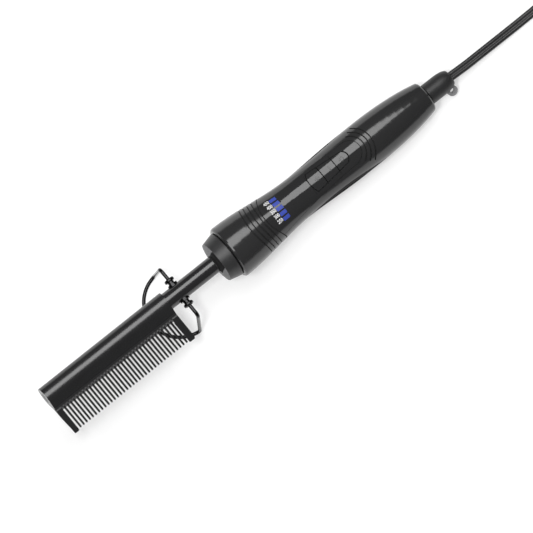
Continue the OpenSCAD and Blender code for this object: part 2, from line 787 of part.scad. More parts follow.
module case_screws() {
    color("#8f9194") place() for (x = screw_x) translate([x, 0, -low_r(x) + screw_sink]) {
        translate([0, 0, -screw_head_h]) cylinder(h = screw_head_h, r = screw_head_r);
        cylinder(h = low_r(x) - screw_sink + screw_top, r = screw_r);
    }
}

/* Controls */

module control_panel() {
    color("#101012") place() difference() {
        intersection() {
            upright() panel_outline(0);
            under_top(0);
        }
        under_top(panel_t);
        translate([0, 0, -1]) upright() keys_outline(keys_x, keys_rear_x, 0);
        for (i = [0:led_n - 1]) led_block(i, fit);
    }
}

module led_windows() {
    color("#4a5cc8") place() for (i = [0:led_n - 1]) difference() {
        intersection() {
            led_block(i, 0);
            under_top(0);
        }
        under_top(panel_t);
    }
}

// A button: a cap in its opening, a flange below the panel and a stem over its switch
module key(x0, x1, stem_x, front, rear) {
    under = panel_t + 0.3;
    place() union() {
        difference() {
            intersection() {
                upright() keys_outline(x0, x1, -key_gap);
                under_top(-key_proud);
            }
            under_top(under + flange_t);
        }
        difference() {
            intersection() {
                upright() keys_outline(x0 - front, x1 + rear, flange_w);
                under_top(under);
            }
            under_top(under + flange_t);
        }
        translate([stem_x, 0, stem_z])
            cylinder(h = top_r(stem_x) - under - flange_t / 2 - stem_z, r = stem_r);
    }
}
stem_x = [(keys_x + part_one) / 2, (part_one + part_two) / 2, keys_rear_x];
module plus_button() {
    color("#151517") key(keys_x + key_gap, part_one - key_split / 2, stem_x[0], flange_w, 0);
}
module minus_button() {
    color("#151517") key(part_one + key_split / 2, part_two - key_split / 2, stem_x[1], 0, 0);
}
module power_button() {
    color("#151517") key(part_two + key_split / 2, keys_rear_x, stem_x[2], 0, 0);
}

module circuit_board() {
    color("#2f6b3c") place() translate([board_x[0], -board_w, board_z])
        cube([board_x[1] - board_x[0], 2 * board_w, board_t]);
}

module tact_switches() {
    color("#2b2b2d") place() for (x = stem_x) translate([x, 0, board_z + board_t]) {
        translate([-switch_w / 2, -switch_w / 2, 0]) cube([switch_w, switch_w, switch_h]);
        translate([0, 0, switch_h]) cylinder(h = plunger_h, r = 1.6);
    }
}

module indicator_leds() {
    color("#e8e8ef") place() for (i = [0:led_n - 1]) {
        a = (i - (led_n - 1) / 2) * led_step;
        top = (top_r(led_x) - wall - 1.4) * cos(a);
        translate([led_x + led_l / 2, -(top_r(led_x) - wall - 1.4) * sin(a), 0]) {
            translate([0, 0, top - 3.6]) cylinder(h = 2.6, r = led_r);
            translate([0, 0, top - 1]) sphere(r = led_r);
            for (x = [-0.6, 0.6]) translate([x, 0, board_z + board_t])
                cylinder(h = top - 3.6 - board_z - board_t, r = 0.22);
        }
    }
}

module power_components() {
    z = board_z + board_t;
    color("#4b4f55") place() {
        translate([relay_x, -relay_w - 1, z]) cube([relay_l, relay_w, relay_h]);
        translate([relay_x, cap_r - 0.7, z + cap_r]) rod(0, cap_l, cap_r);
        translate([fuse_x, -relay_w, z]) cube([fuse_l, 2 * relay_w, relay_w]);
        for (side = [-1, 1]) translate([diode_x, side * diode_y, z + diode_r]) rod(0, diode_l, diode_r);
    }
}

/* Leads and cord */

// Tube along points: rings of n sides, w wide and h high, square to the path and level across it
function heading(p, i) = unit(p[min(i + 1, len(p) - 1)] - p[max(i - 1, 0)]);
function ring(p, t, w, h, n) = let (side = unit(cross([0, 0, 1], t)), up = cross(t, side))
    [for (k = [0:n - 1]) let (a = 360 * (k + 0.5) / n) p + (w * cos(a) * side + h * sin(a) * up) / cos(180 / n)];
module tube(points, w, h, n = 8) {
    last = len(points) - 1;
    polyhedron(points = [for (i = [0:last]) each ring(points[i], heading(points, i), w, h, n)],
        faces = concat([[for (k = [0:n - 1]) k]],
            [for (i = [0:last - 1], k = [0:n - 1]) let (a = i * n + k, b = i * n + (k + 1) % n)
                [b, a, a + n, b + n]],
            [[for (k = [n - 1:-1:0]) last * n + k]]));
}

module heater_leads() {
    tube_end = holder_x[1] + 2;
    mid_z = board_z + board_t / 2;
    color("#b5372f") place() for (side = [-1, 1]) {
        tube([[heater_x1, side * 1.6, -1], [tube_end - 3, side * 1.6, -1], [tube_end + 1, side * 3.4, -0.5],
            [screw_x[0] - 2, side * 5.2, 0], [screw_x[0] + 3, side * 5.2, 1],
            [board_x[0] - 3, side * 4.6, mid_z], [board_x[0], side * 4.6, mid_z]], lead_r, lead_r);
        tube([[sensor_x1, side * 0.6, sensor_z], [tube_end - 3, side * 0.6, sensor_z],
            [tube_end + 1, side * 2.4, 2], [screw_x[0] - 2, side * 4.6, 2.6], [screw_x[0] + 3, side * 4.6, 2.6],
            [board_x[0] - 3, side * 2.4, mid_z], [board_x[0], side * 2.4, mid_z]],
            sensor_lead_r, sensor_lead_r);
    }
}

module mains_leads() {
    mid_z = board_z + board_t / 2;
    color("#2c2c2e") place() for (i = [0, 1]) {
        side = i == 0 ? 1 : -1;
        tube([[board_x[1], side * 4, mid_z], [board_x[1] + 1, side * 4, mid_z],
            [board_x[1] + 3, side * 4.6, mid_z - 0.5],
            [screw_x[1] - 2, side * 5.4, 0.5], [screw_x[1] + 3, side * 5.2, -2],
            [contact_x[i] - 3, side * 1.6, -5.6], [contact_x[i] - 1, side * 0.6, -6],
            [contact_x[i], side * 0.6, -6]], lead_r, lead_r);
    }
}

// Upright contact blades that touch the turning pin and its ring from below
module swivel_terminals() {
    color("#c98b4e") place() for (i = [0, 1]) {
        foot = -inner_low(contact_x[i] + 0.8) + 0.2;
        head = i == 0 ? -pin_r - fit : -pin_ring_r - fit;
        translate([contact_x[i], -1.5, foot]) cube([0.8, 3, head - foot]);
    }
}

module contact_pin() {
    color("#d9c08a") place() {
        rod(pin_x0, pin_ring_x, pin_r);
        rod(pin_ring_x, journal_x0, pin_ring_r);
    }
}

module swivel_bearing() {
    color("#8d8f92") place() difference() {
        union() {
            rod(bearing_x[0], bearing_x[1], bearing_r);
            rod(bearing_x[0], bearing_x[0] + 2, bearing_flange_r);
        }
        rod(bearing_x[0] - 1, bearing_x[1] + 1, journal_r + journal_fit);
    }
}

eye_dir = [0, -0.8, -0.6];
eye_x = sleeve_x1 - 3.3;
eye_d = 7.4;
module eye_blank(r, t) {
    translate([eye_x, 0, 0] + eye_d * eye_dir) rotate([atan2(0.6, 0.8), 0, 0])
        cylinder(h = t, r = r, center = true);
}

module cord_swivel() {
    color("#38393b") place() difference() {
        revolve() polygon(concat(
            [[0, journal_x0], [journal_r + 1.6, journal_x0], [journal_r + 1.6, journal_x0 + retainer_t],
             [journal_r, journal_x0 + retainer_t], [journal_r, sleeve_x0], [sleeve_r - 0.4, sleeve_x0],
             [sleeve_r, sleeve_x0 + 0.4]],
            [for (i = [0:8]) [sleeve_end_r + (sleeve_r - sleeve_end_r) * cos(90 * i / 8),
                sleeve_wall_x + sleeve_round * sin(90 * i / 8)]],
            [[0, sleeve_x1]]));
        rod(seat_x, sleeve_x1 + 1, cord_w + 0.5);
        eye_blank(eye_r + 0.02, eye_t + 0.04);
    }
}

module hang_loop() {
    color("#a9abae") place() difference() {
        eye_blank(eye_r, eye_t);
        eye_blank(eye_hole_r, eye_t + 1);
    }
}

module power_cord() {
    color("#232324") tube(cord_points, cord_w, cord_h);
}

function hank_w(x) = blend(hank_waist, hank_r, abs(x) / hank_half);
module cord_hank() {
    steps_n = 10;
    xs = [for (i = [-steps_n:steps_n]) hank_half * i / steps_n];
    color("#232324") translate([hank_x, hank_y, 0]) difference() {
        union() {
            linear_extrude(height = hank_h) polygon(concat([for (x = xs) [x, -hank_w(x)]],
                [for (i = [len(xs) - 1:-1:0]) [xs[i], hank_w(xs[i])]]));
            for (side = [-1, 1]) translate([side * hank_half, 0, 0]) cylinder(h = hank_h, r = hank_r);
            translate([lead_end_x - hank_x, lead_y - hank_y - cord_w, 0])
                cube([hank_x - hank_half - lead_end_x, 2 * cord_w, 2 * cord_h]);
            translate(tail_root - [hank_x, hank_y, cord_h]) rotate([0, 0, tail_angle])
                translate([0, -cord_w, 0]) cube([tail_run, 2 * cord_w, 2 * cord_h]);
        }
        translate([-tie_w / 2 - 0.1, -30, -1]) cube([tie_w + 0.2, 60, 1 + tie_t]);
    }
}

module cord_tie() {
    out = hank_w(tie_w / 2) + 0.05 + tie_t;
    top = hank_h + tie_t + 0.1;
    color("#3b3b3d") translate([hank_x - tie_w / 2, hank_y, 0]) difference() {
        translate([0, -out, 0]) cube([tie_w, 2 * out, top]);
        translate([-1, -out + tie_t, tie_t]) cube([tie_w + 2, 2 * (out - tie_t), top - 2 * tie_t]);
    }
}

module cord_tail() {
    color("#232324") tube(tail_points, cord_w, cord_h);
}

module plug_body() {
    color("#2a2a2b") translate([plug_x, plug_y, 0]) {
        translate([-relief_l, 0, plug_mid_z]) rotate([0, 90, 0])
            cylinder(h = relief_l + 3, r1 = relief_r, r2 = relief_r + 1);
        plug_block();
    }
}
module plug_block() {
    intersection() {
        linear_extrude(height = plug_h) polygon([[0, -plug_w / 2 + 5], [2, -plug_w / 2 + 3.6],
            [9, -plug_w / 2 + 0.8], [13, -plug_w / 2], [plug_l - 1, -plug_w / 2], [plug_l, -plug_w / 2 + 1],
            [plug_l, plug_w / 2 - 1], [plug_l - 1, plug_w / 2], [13, plug_w / 2],
            [9, plug_w / 2 - 0.8], [2, plug_w / 2 - 3.6], [0, plug_w / 2 - 5]]);
        translate([0, plug_w, 0]) rotate([90, 0, 0]) linear_extrude(height = 2 * plug_w)
            polygon([[0, 2.4], [2, 1.4], [7, 0], [plug_l, 0], [plug_l, plug_h], [7, plug_h],
                [2, plug_h - 1.4], [0, plug_h - 2.4]]);
    }
}

module plug_blades() {
    color("#c9a65c") for (side = [-1, 1])
        translate([plug_x + plug_l, plug_y + side * blade_step / 2 - blade_t / 2, (plug_h - blade_w) / 2])
            cube([blade_l, blade_t, blade_w]);
}

comb_head();
comb_teeth();
tip_plug();
heater_rod();
temperature_sensor();
neck_tube();
stand_bushing_left();
stand_bushing_right();
wire_stand();
nose_collar();
neck_holder();
upper_shell();
lower_shell();
control_panel();
led_windows();
plus_button();
minus_button();
power_button();
circuit_board();
tact_switches();
indicator_leds();
power_components();
heater_leads();
mains_leads();
swivel_terminals();
contact_pin();
swivel_bearing();
cord_swivel();
hang_loop();
case_screws();
power_cord();
cord_hank();
cord_tie();
cord_tail();
plug_body();
plug_blades();
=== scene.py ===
import math
import bmesh
import bpy
from mathutils import Matrix, Vector


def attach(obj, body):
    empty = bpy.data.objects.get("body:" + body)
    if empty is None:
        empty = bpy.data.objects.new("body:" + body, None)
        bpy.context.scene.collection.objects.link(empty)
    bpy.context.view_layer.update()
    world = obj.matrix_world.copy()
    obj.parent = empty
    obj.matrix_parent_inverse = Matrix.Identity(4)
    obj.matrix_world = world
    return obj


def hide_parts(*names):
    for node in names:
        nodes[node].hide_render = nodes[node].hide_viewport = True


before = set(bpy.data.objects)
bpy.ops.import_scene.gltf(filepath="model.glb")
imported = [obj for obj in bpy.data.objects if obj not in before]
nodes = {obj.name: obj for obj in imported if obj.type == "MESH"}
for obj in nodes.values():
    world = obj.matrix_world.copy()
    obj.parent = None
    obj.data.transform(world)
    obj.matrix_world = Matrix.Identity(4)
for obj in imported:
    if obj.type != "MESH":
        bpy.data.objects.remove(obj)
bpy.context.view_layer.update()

# Camera. The comb is seen from almost straight above with a long lens. Its handle runs to the
# upper right and sinks by the pitch towards its rear. Its teeth point to the lower right.
pitch = math.radians(7)
collar_front = Vector((-0.0236566, 0.0023939, 0.0290961))
handle_axis = Vector((math.cos(pitch), 0, -math.sin(pitch)))
to_camera = Vector((-0.045, -0.136, 0.99)).normalized()
handle_seen = (handle_axis - handle_axis.dot(to_camera) * to_camera).normalized()
teeth_seen = handle_seen.cross(to_camera)
view_turn = math.radians(38.5)
camera_right = math.cos(view_turn) * handle_seen + math.sin(view_turn) * teeth_seen
camera_up = math.sin(view_turn) * handle_seen - math.cos(view_turn) * teeth_seen
metres_per_pixel = 0.00057
picture_pixels = 533
pixels_along = 37.1
pixels_across = 34.3
view_centre = collar_front + metres_per_pixel * (pixels_along * handle_seen
                                                 + pixels_across * teeth_seen)
camera_far = 5
sensor_width = 36
camera_data = bpy.data.cameras.new("camera")
camera_data.sensor_width = sensor_width
camera_data.lens = sensor_width * camera_far / (picture_pixels * metres_per_pixel)
camera = bpy.data.objects.new("camera", camera_data)
bpy.context.collection.objects.link(camera)
turned = Matrix((camera_right, camera_up, to_camera)).transposed().to_4x4()
camera.matrix_world = Matrix.Translation(view_centre + camera_far * to_camera) @ turned
bpy.context.scene.camera = camera


# Light. A long soft box hangs over the far side of the handle and draws the bright band along
# it, a small lamp straight above gives the short soft shadow, and a pale room fills the rest.
bpy.context.scene.view_settings.view_transform = "Standard"


def overhead_lamp(name, place, length, width, power):
    """A rectangle of light that looks straight down."""
    data = bpy.data.lights.new(name, "AREA")
    data.shape = "RECTANGLE"
    data.size, data.size_y, data.energy = length, width, power
    lamp = bpy.data.objects.new(name, data)
    bpy.context.collection.objects.link(lamp)
    lamp.location = place
    lamp.visible_camera = False
    return lamp


soft_box = overhead_lamp("soft_box", (0.1, 0.236, 1), length=1.2, width=0.64, power=10.2)
soft_box.rotation_euler = (0, 0, math.radians(25))
top_lamp = overhead_lamp("top_lamp", (-0.2, -0.06, 1), length=0.14, width=0.14, power=5)
top_lamp.visible_glossy = False

room_at_floor = 0.4
room_above = 0.16
room_changes_by = 0.12
world = bpy.data.worlds.new("pale_room")
bpy.context.scene.world = world
world.use_nodes = True
room = world.node_tree
room.nodes.clear()
room_out = room.nodes.new("ShaderNodeOutputWorld")
room_light = room.nodes.new("ShaderNodeBackground")
room_side = room.nodes.new("ShaderNodeTexCoord")
room_up = room.nodes.new("ShaderNodeSeparateXYZ")
room_shade = room.nodes.new("ShaderNodeMapRange")
room_shade.interpolation_type = "SMOOTHSTEP"
room_shade.inputs["From Min"].default_value = 0
room_shade.inputs["From Max"].default_value = room_changes_by
room_shade.inputs["To Min"].default_value = room_at_floor
room_shade.inputs["To Max"].default_value = room_above
room.links.new(room_side.outputs["Generated"], room_up.inputs["Vector"])
room.links.new(room_up.outputs["Z"], room_shade.inputs["Value"])
room.links.new(room_shade.outputs["Result"], room_light.inputs["Strength"])
room.links.new(room_light.outputs["Background"], room_out.inputs["Surface"])


# Table. A plain white top under the comb. It keeps the comb's soft shadow, and a glow that only
# the camera, gloss and clear parts see makes it white.
table_grey = 0.45
table_glow = 0.54
bpy.ops.object.select_all(action="DESELECT")
bpy.ops.mesh.primitive_plane_add(size=8, location=(0, 0, 0))
table = bpy.context.object
table.name = "table"


def maths(tree, operation, *values):
    """Adds a math node on the given numbers and sockets, and returns its result's socket."""
    step = tree.nodes.new("ShaderNodeMath")
    step.operation = operation
    for socket, value in zip(step.inputs, values):
        if isinstance(value, (int, float)):
            socket.default_value = value
        else:
            tree.links.new(value, socket)
    return step.outputs[0]


table_top = bpy.data.materials.new("table_top")
table_top.use_nodes = True
top = table_top.node_tree
top_surface = top.nodes["Principled BSDF"]
top_surface.inputs["Base Color"].default_value = (table_grey, table_grey, table_grey, 1)
top_surface.inputs["Roughness"].default_value = 0.9
top_surface.inputs["Specular IOR Level"].default_value = 0
ray = top.nodes.new("ShaderNodeLightPath").outputs
seen = maths(top, "MAXIMUM", ray["Is Camera Ray"], ray["Is Glossy Ray"])
seen = maths(top, "MAXIMUM", seen, ray["Is Transmission Ray"])
top_glow = top.nodes.new("ShaderNodeEmission")
top_glow.inputs["Color"].default_value = (1, 1, 1, 1)
top.links.new(maths(top, "MULTIPLY", seen, table_glow), top_glow.inputs["Strength"])
top_sum = top.nodes.new("ShaderNodeAddShader")
top.links.new(top_surface.outputs["BSDF"], top_sum.inputs[0])
top.links.new(top_glow.outputs["Emission"], top_sum.inputs[1])
top.links.new(top_sum.outputs["Shader"], top.nodes["Material Output"].inputs["Surface"])
table.data.materials.append(table_top)


# Power cord. A flat twin cord, two wires side by side in one rubber jacket, 1.8 m long. It
# leaves the sleeve, sinks to the table and is folded into a hank of six turns.
cord_half_w = 0.0028
cord_half_h = 0.0014
web_angle = 138
wire_corners = 12
point_gap = 0.0025
points_a_turn = 112
layer_step = 0.00285
column_step = 0.0057
hank_centre = Vector((0.277, 0.0244, 0))
loop_centre_x = 0.036
outer_r = 0.0224
outer_waist = 0.0112
tie_lift = 0.00085
tie_lift_from = 0.022
tie_lift_over = 0.014


def smooth(t):
    """Even bend from 0 up to 1: as gentle as the stretch allows."""
    t = min(1, max(0, t))
    return 2 * t * t if t < 0.5 else 1 - 2 * (1 - t) ** 2


def through(points, step):
    """Points of a smooth line through the given points, about step apart."""
    line = []
    for i in range(len(points) - 1):
        p0 = points[i - 1] if i else 2 * points[0] - points[1]
        p1, p2 = points[i], points[i + 1]
        p3 = points[i + 2] if i + 2 < len(points) else 2 * points[-1] - points[-2]
        n = max(1, round((p2 - p1).length / step))
        for k in range(n):
            t = k / n
            line.append(0.5 * (2 * p1 + (p2 - p0) * t + (2 * p0 - 5 * p1 + 4 * p2 - p3) * t ** 2
                               + (3 * p1 - p0 - 3 * p2 + p3) * t ** 3))
    return line + [points[-1]]


def on_hank(place, column, layer):
    """Point at place 0..4 round the figure: near run, far loop, back run, near loop."""
    r = outer_r - column * column_step
    waist = outer_waist - column * column_step
    part, t = int(place) % 4, place - int(place)
    if part in (0, 2):
        side = -1 if part == 0 else 1
        x = -side * loop_centre_x * (2 * t - 1)
        y = side * (waist + (r - waist) * (1 - math.cos(math.pi * x / loop_centre_x)) / 2)
    else:
        side = 1 if part == 1 else -1
        turn = math.pi * t - math.pi / 2
        x = side * (loop_centre_x + r * math.cos(turn))
        y = side * r * math.sin(turn)
    lift = tie_lift * smooth((tie_lift_from - abs(x)) / tie_lift_over)
    return hank_centre + Vector((x, y, cord_half_h + layer * layer_step + lift))


# Each turn keeps its own column and layer, and moves to the next cell on the near loop. The
# last turn climbs over the others there and lets the tail out.
turn_cells = [(0, 0), (1, 0), (1, 1), (0, 1), (0, 2), (1, 2)]
cell_moves = [(3.52, 3.82), (3.46, 3.54), (3.18, 3.46), (3.08, 3.18), (2.76, 3.08)]
near_loop = 3
turn_end = 3.999999
climb_start = 2.62
climb_reach = 0.38
tail_heading = 233
tail_leaves = near_loop + (tail_heading - 90) / 180

lead_points = [Vector(p) / 1000 for p in (
    (144.58, 2.39, 8.44), (148.55, 2.39, 7.95), (154, 2.2, 7.3), (160, 2, 6.4), (167, 2, 5.5),
    (174, 2, 4.6), (181, 2, 3.7), (188, 2, 2.8), (195, 2, 2.1), (202, 2, 1.6), (209, 2, 1.4),
    (216, 2, 1.4), (224, 2, 1.4), (241, 2, 1.4))]
cord_line = through(lead_points, point_gap)
for turn, (column, layer) in enumerate(turn_cells):
    for k in range(1, points_a_turn + 1):
        place = 4 * k / points_a_turn
        if turn == len(turn_cells) - 1:
            if place > tail_leaves:
                break
            up = smooth((place - climb_start) / climb_reach)
            out = smooth((place - near_loop) / (tail_leaves - near_loop))
            cord_line.append(on_hank(place, column * (1 - out), layer + up))
            continue
        start, end = cell_moves[turn]
        share = smooth((place - start) / (end - start))
        to_column, to_layer = turn_cells[turn + 1]
        cord_line.append(on_hank(min(place, turn_end), column + (to_column - column) * share,
                                 layer + (to_layer - layer) * share))
tail_root = on_hank(tail_leaves, 0, near_loop)
tail_line = [tail_root] + [Vector(p) / 1000 for p in (
    (233, 2.4, 9.3), (239, -2.15, 7.6), (246, -7.5, 6.3), (251, -10.5, 5.6),
    (256, -12.5, 5.4), (262, -13, 5.5), (268, -13, 5.5), (272, -13, 5.5))]
cord_line += through(tail_line, point_gap)


def flat_twin():
    """Outline of the flat twin cord: two round wires side by side, joined by a narrow web."""
    ring = []
    lobe = cord_half_w / 2
    for side in (1, -1):
        for k in range(wire_corners):
            a = math.radians(-web_angle + 2 * web_angle * k / (wire_corners - 1))
            ring.append((side * (lobe + lobe * math.cos(a)), side * cord_half_h * math.sin(a)))
    return ring


def sweep(name, line, outline):
    """A closed tube with that outline, level across its line."""
    mesh = bpy.data.meshes.new(name)
    built = bmesh.new()
    rings = []
    for i, p in enumerate(line):
        heading = (line[min(i + 1, len(line) - 1)] - line[max(i - 1, 0)]).normalized()
        across = Vector((0, 0, 1)).cross(heading).normalized()
        up = heading.cross(across)
        rings.append([built.verts.new(p + w * across + h * up) for w, h in outline])
    n = len(outline)
    for a, b in zip(rings, rings[1:]):
        for k in range(n):
            built.faces.new((a[k], a[(k + 1) % n], b[(k + 1) % n], b[k]))
    built.faces.new(list(reversed(rings[0])))
    built.faces.new(rings[-1])
    bmesh.ops.recalc_face_normals(built, faces=built.faces)
    built.to_mesh(mesh)
    built.free()
    mesh.polygons.foreach_set("use_smooth", [True] * len(mesh.polygons))
    piece = bpy.data.objects.new(name, mesh)
    bpy.context.collection.objects.link(piece)
    return piece


cord = sweep("twin_cord", cord_line, flat_twin())
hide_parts("power_cord", "cord_hank", "cord_tail")
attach(cord, "handle")


# Comb bar, teeth and tip plug. Cast aluminium under a black satin heat-proof coating, which has
# a faint orange peel from spraying and slightly smoother, paler wear where hair runs.
def frame_coordinates():
    """Group that gives a point's place along, across and above the comb's own axis."""
    group = bpy.data.node_groups.new("comb_coordinates", "ShaderNodeTree")
    upright = Vector((math.sin(pitch), 0, math.cos(pitch)))
    axes = (("Along", handle_axis), ("Across", Vector((0, 1, 0))), ("Up", upright))
    for name, axis in axes:
        group.interface.new_socket(name=name, in_out="OUTPUT", socket_type="NodeSocketFloat")
    out = group.nodes.new("NodeGroupOutput")
    where = group.nodes.new("ShaderNodeTexCoord")
    from_front = group.nodes.new("ShaderNodeVectorMath")
    from_front.operation = "SUBTRACT"
    from_front.inputs[1].default_value = collar_front
    group.links.new(where.outputs["Object"], from_front.inputs[0])
    for name, axis in axes:
        dot = group.nodes.new("ShaderNodeVectorMath")
        dot.operation = "DOT_PRODUCT"
        dot.inputs[1].default_value = axis
        group.links.new(from_front.outputs["Vector"], dot.inputs[0])
        group.links.new(dot.outputs["Value"], out.inputs[name])
    return group


def surface_skin():
    """Group for moulded and coated skins: fine grain, broad unevenness and handling marks."""
    group = bpy.data.node_groups.new("surface_skin", "ShaderNodeTree")
    for way, names in (("INPUT", ("Grain Size", "Grain", "Swell Size", "Swell", "Marks")),
                       ("OUTPUT", ("Height", "Unevenness", "Marks"))):
        for name in names:
            group.interface.new_socket(name=name, in_out=way, socket_type="NodeSocketFloat")
    given = group.nodes.new("NodeGroupInput").outputs
    out = group.nodes.new("NodeGroupOutput")
    where = group.nodes.new("ShaderNodeTexCoord")

    def noise(size, detail, stretch=(1, 1, 1)):
        spread = group.nodes.new("ShaderNodeMapping")
        spread.inputs["Scale"].default_value = stretch
        group.links.new(where.outputs["Object"], spread.inputs["Vector"])
        pattern = group.nodes.new("ShaderNodeTexNoise")
        pattern.inputs["Detail"].default_value = detail
        group.links.new(spread.outputs["Vector"], pattern.inputs["Vector"])
        group.links.new(maths(group, "DIVIDE", 1, given[size]), pattern.inputs["Scale"])
        return pattern.outputs["Fac"]

    grain = maths(group, "MULTIPLY", noise("Grain Size", 1), given["Grain"])
    swell = maths(group, "MULTIPLY", noise("Swell Size", 2), given["Swell"])
    group.links.new(maths(group, "ADD", grain, swell), out.inputs["Height"])
    group.links.new(noise("Swell Size", 4, (0.4, 1, 1)), out.inputs["Unevenness"])
    marks_from, marks_full = 0.62, 0.7
    thin = group.nodes.new("ShaderNodeMapRange")
    thin.inputs["From Min"].default_value = marks_from
    thin.inputs["From Max"].default_value = marks_full
    group.links.new(noise("Grain Size", 3, (0.04, 0.5, 0.5)), thin.inputs["Value"])
    marks = maths(group, "MULTIPLY", thin.outputs["Result"], given["Marks"])
    group.links.new(marks, out.inputs["Marks"])
    return group


comb_coordinates = frame_coordinates()
skin = surface_skin()


def skinned(name, dark, light, rough, rough_more, depth, metallic=0, specular=0.5,
            grain_size=0.0004, grain=0.5, swell_size=0.006, swell=0.5, marks=0.3):
    """Material whose colour, gloss and relief all come from one surface_skin group."""
    material = bpy.data.materials.new(name)
    material.use_nodes = True
    tree = material.node_tree
    surface = tree.nodes["Principled BSDF"]
    surface.inputs["Metallic"].default_value = metallic
    surface.inputs["Specular IOR Level"].default_value = specular
    touch = tree.nodes.new("ShaderNodeGroup")
    touch.node_tree = skin
    for socket, value in (("Grain Size", grain_size), ("Grain", grain),
                          ("Swell Size", swell_size), ("Swell", swell), ("Marks", marks)):
        touch.inputs[socket].default_value = value
    shade = tree.nodes.new("ShaderNodeMix")
    shade.data_type = "RGBA"
    shade.inputs["A"].default_value = (*dark, 1)
    shade.inputs["B"].default_value = (*light, 1)
    tree.links.new(touch.outputs["Unevenness"], shade.inputs["Factor"])
    tree.links.new(shade.outputs["Result"], surface.inputs["Base Color"])
    gloss = tree.nodes.new("ShaderNodeMapRange")
    gloss.inputs["To Min"].default_value = rough
    gloss.inputs["To Max"].default_value = rough + rough_more
    worn = maths(tree, "ADD", touch.outputs["Unevenness"], touch.outputs["Marks"])
    tree.links.new(worn, gloss.inputs["Value"])
    tree.links.new(gloss.outputs["Result"], surface.inputs["Roughness"])
    relief = tree.nodes.new("ShaderNodeBump")
    relief.inputs["Strength"].default_value = 1
    relief.inputs["Distance"].default_value = depth
    tree.links.new(touch.outputs["Height"], relief.inputs["Height"])
    tree.links.new(relief.outputs["Normal"], surface.inputs["Normal"])
    return material


def finish(material, *names):
    """Gives CAD nodes their finished material."""
    for name in names:
        for place in nodes[name].material_slots:
            place.material = material


def zone(material, group, output, start, end, colour, rough):
    """Gives a material another colour and gloss as a group's output goes from start to end."""
    tree = material.node_tree
    place = tree.nodes.new("ShaderNodeGroup")
    place.node_tree = group
    reach = tree.nodes.new("ShaderNodeMapRange")
    reach.inputs["From Min"].default_value = start
    reach.inputs["From Max"].default_value = end
    tree.links.new(place.outputs[output], reach.inputs["Value"])
    surface = tree.nodes["Principled BSDF"]
    for socket, value, kind in (("Base Color", (*colour, 1), "RGBA"),
                                ("Roughness", rough, "FLOAT")):
        before = surface.inputs[socket].links[0].from_socket
        change = tree.nodes.new("ShaderNodeMix")
        change.data_type = kind
        share, outside, inside = [i for i in change.inputs if i.enabled]
        tree.links.new(reach.outputs["Result"], share)
        tree.links.new(before, outside)
        inside.default_value = value
        result = [o for o in change.outputs if o.enabled][0]
        tree.links.new(result, surface.inputs[socket])


# Across the comb, the foot of the blade turns matt, then its notched edge is painted pale as
# painted light.
blade_foot = (-0.0082, -0.0086)
notched_edge_painted_light = (-0.0098, -0.0102)
comb_coating = skinned("comb_coating", (0.009, 0.009, 0.0095), (0.013, 0.013, 0.0135),
                       rough=0.2, rough_more=0.07, depth=0.00001, specular=0.8,
                       grain_size=0.0005, swell_size=0.004, marks=0.4)
zone(comb_coating, comb_coordinates, "Across", *blade_foot,
     colour=(0.008, 0.008, 0.0083), rough=0.6)
zone(comb_coating, comb_coordinates, "Across", *notched_edge_painted_light,
     colour=(0.1, 0.1, 0.102), rough=0.6)
finish(comb_coating, "comb_head")
tooth_coating = skinned("tooth_coating", (0.007, 0.007, 0.0073), (0.01, 0.01, 0.0103),
                        rough=0.5, rough_more=0.12, depth=0.00001, specular=0.1,
                        grain_size=0.0004, swell_size=0.004, marks=0.5)
finish(tooth_coating, "comb_teeth")
plug_coating = skinned("plug_coating", (0.014, 0.014, 0.015), (0.02, 0.02, 0.021), rough=0.35,
                       rough_more=0.1, depth=0.00002, specular=0.5, grain_size=0.0003)
finish(plug_coating, "tip_plug")


# Heater rod, sensor and leads. A drawn steel cartridge, a brass sensor cup and silicone leads
# inside the bar and the neck.
sheath = skinned("heater_sheath", (0.42, 0.42, 0.43), (0.52, 0.52, 0.53), rough=0.28,
                 rough_more=0.14, depth=0.00001, metallic=1, grain_size=0.0003, marks=0.8)
finish(sheath, "heater_rod")
brass = skinned("contact_brass", (0.6, 0.4, 0.17), (0.74, 0.54, 0.26), rough=0.2,
                rough_more=0.14, depth=0.000008, metallic=1, grain_size=0.0003,
                swell_size=0.003, marks=0.6)
finish(brass, "temperature_sensor", "contact_pin", "swivel_terminals")
lead_silicone = skinned("lead_silicone", (0.3, 0.04, 0.035), (0.4, 0.06, 0.05), rough=0.45,
                        rough_more=0.12, depth=0.00002, specular=0.4, grain_size=0.0006)
finish(lead_silicone, "heater_leads", "mains_leads")


# Neck tube. Drawn steel tube under the same black coating, a little glossier than the bar. It
# is clamped inside the handle, and where it enters the collar a painted shade makes it near black.
neck_entry_painted_shade = (-0.0021, -0.0016)
neck_coating = skinned("neck_coating", (0.009, 0.009, 0.0095), (0.013, 0.013, 0.0135),
                       rough=0.15, rough_more=0.06, depth=0.000008, specular=0.8,
                       grain_size=0.0005, swell_size=0.005, marks=0.4)
zone(neck_coating, comb_coordinates, "Along", *neck_entry_painted_shade,
     colour=(0.002, 0.002, 0.002), rough=0.9)
finish(neck_coating, "neck_tube")


# Bushings and wire stand. Turned bushings and bent spring wire under dark nickel, with the
# drawing lines of the wire and small darker spots.
bushing_nickel = skinned("bushing_nickel", (0.022, 0.022, 0.0225), (0.045, 0.045, 0.046),
                         rough=0.14, rough_more=0.1, depth=0.000006, metallic=1,
                         grain_size=0.0003, swell_size=0.002, marks=0.6)
finish(bushing_nickel, "stand_bushing_left", "stand_bushing_right")
stand_chrome = skinned("stand_chrome", (0.024, 0.024, 0.0245), (0.042, 0.042, 0.043),
                       rough=0.12, rough_more=0.1, depth=0.000006, metallic=1,
                       grain_size=0.0003, swell_size=0.003, marks=0.8)
finish(stand_chrome, "wire_stand")
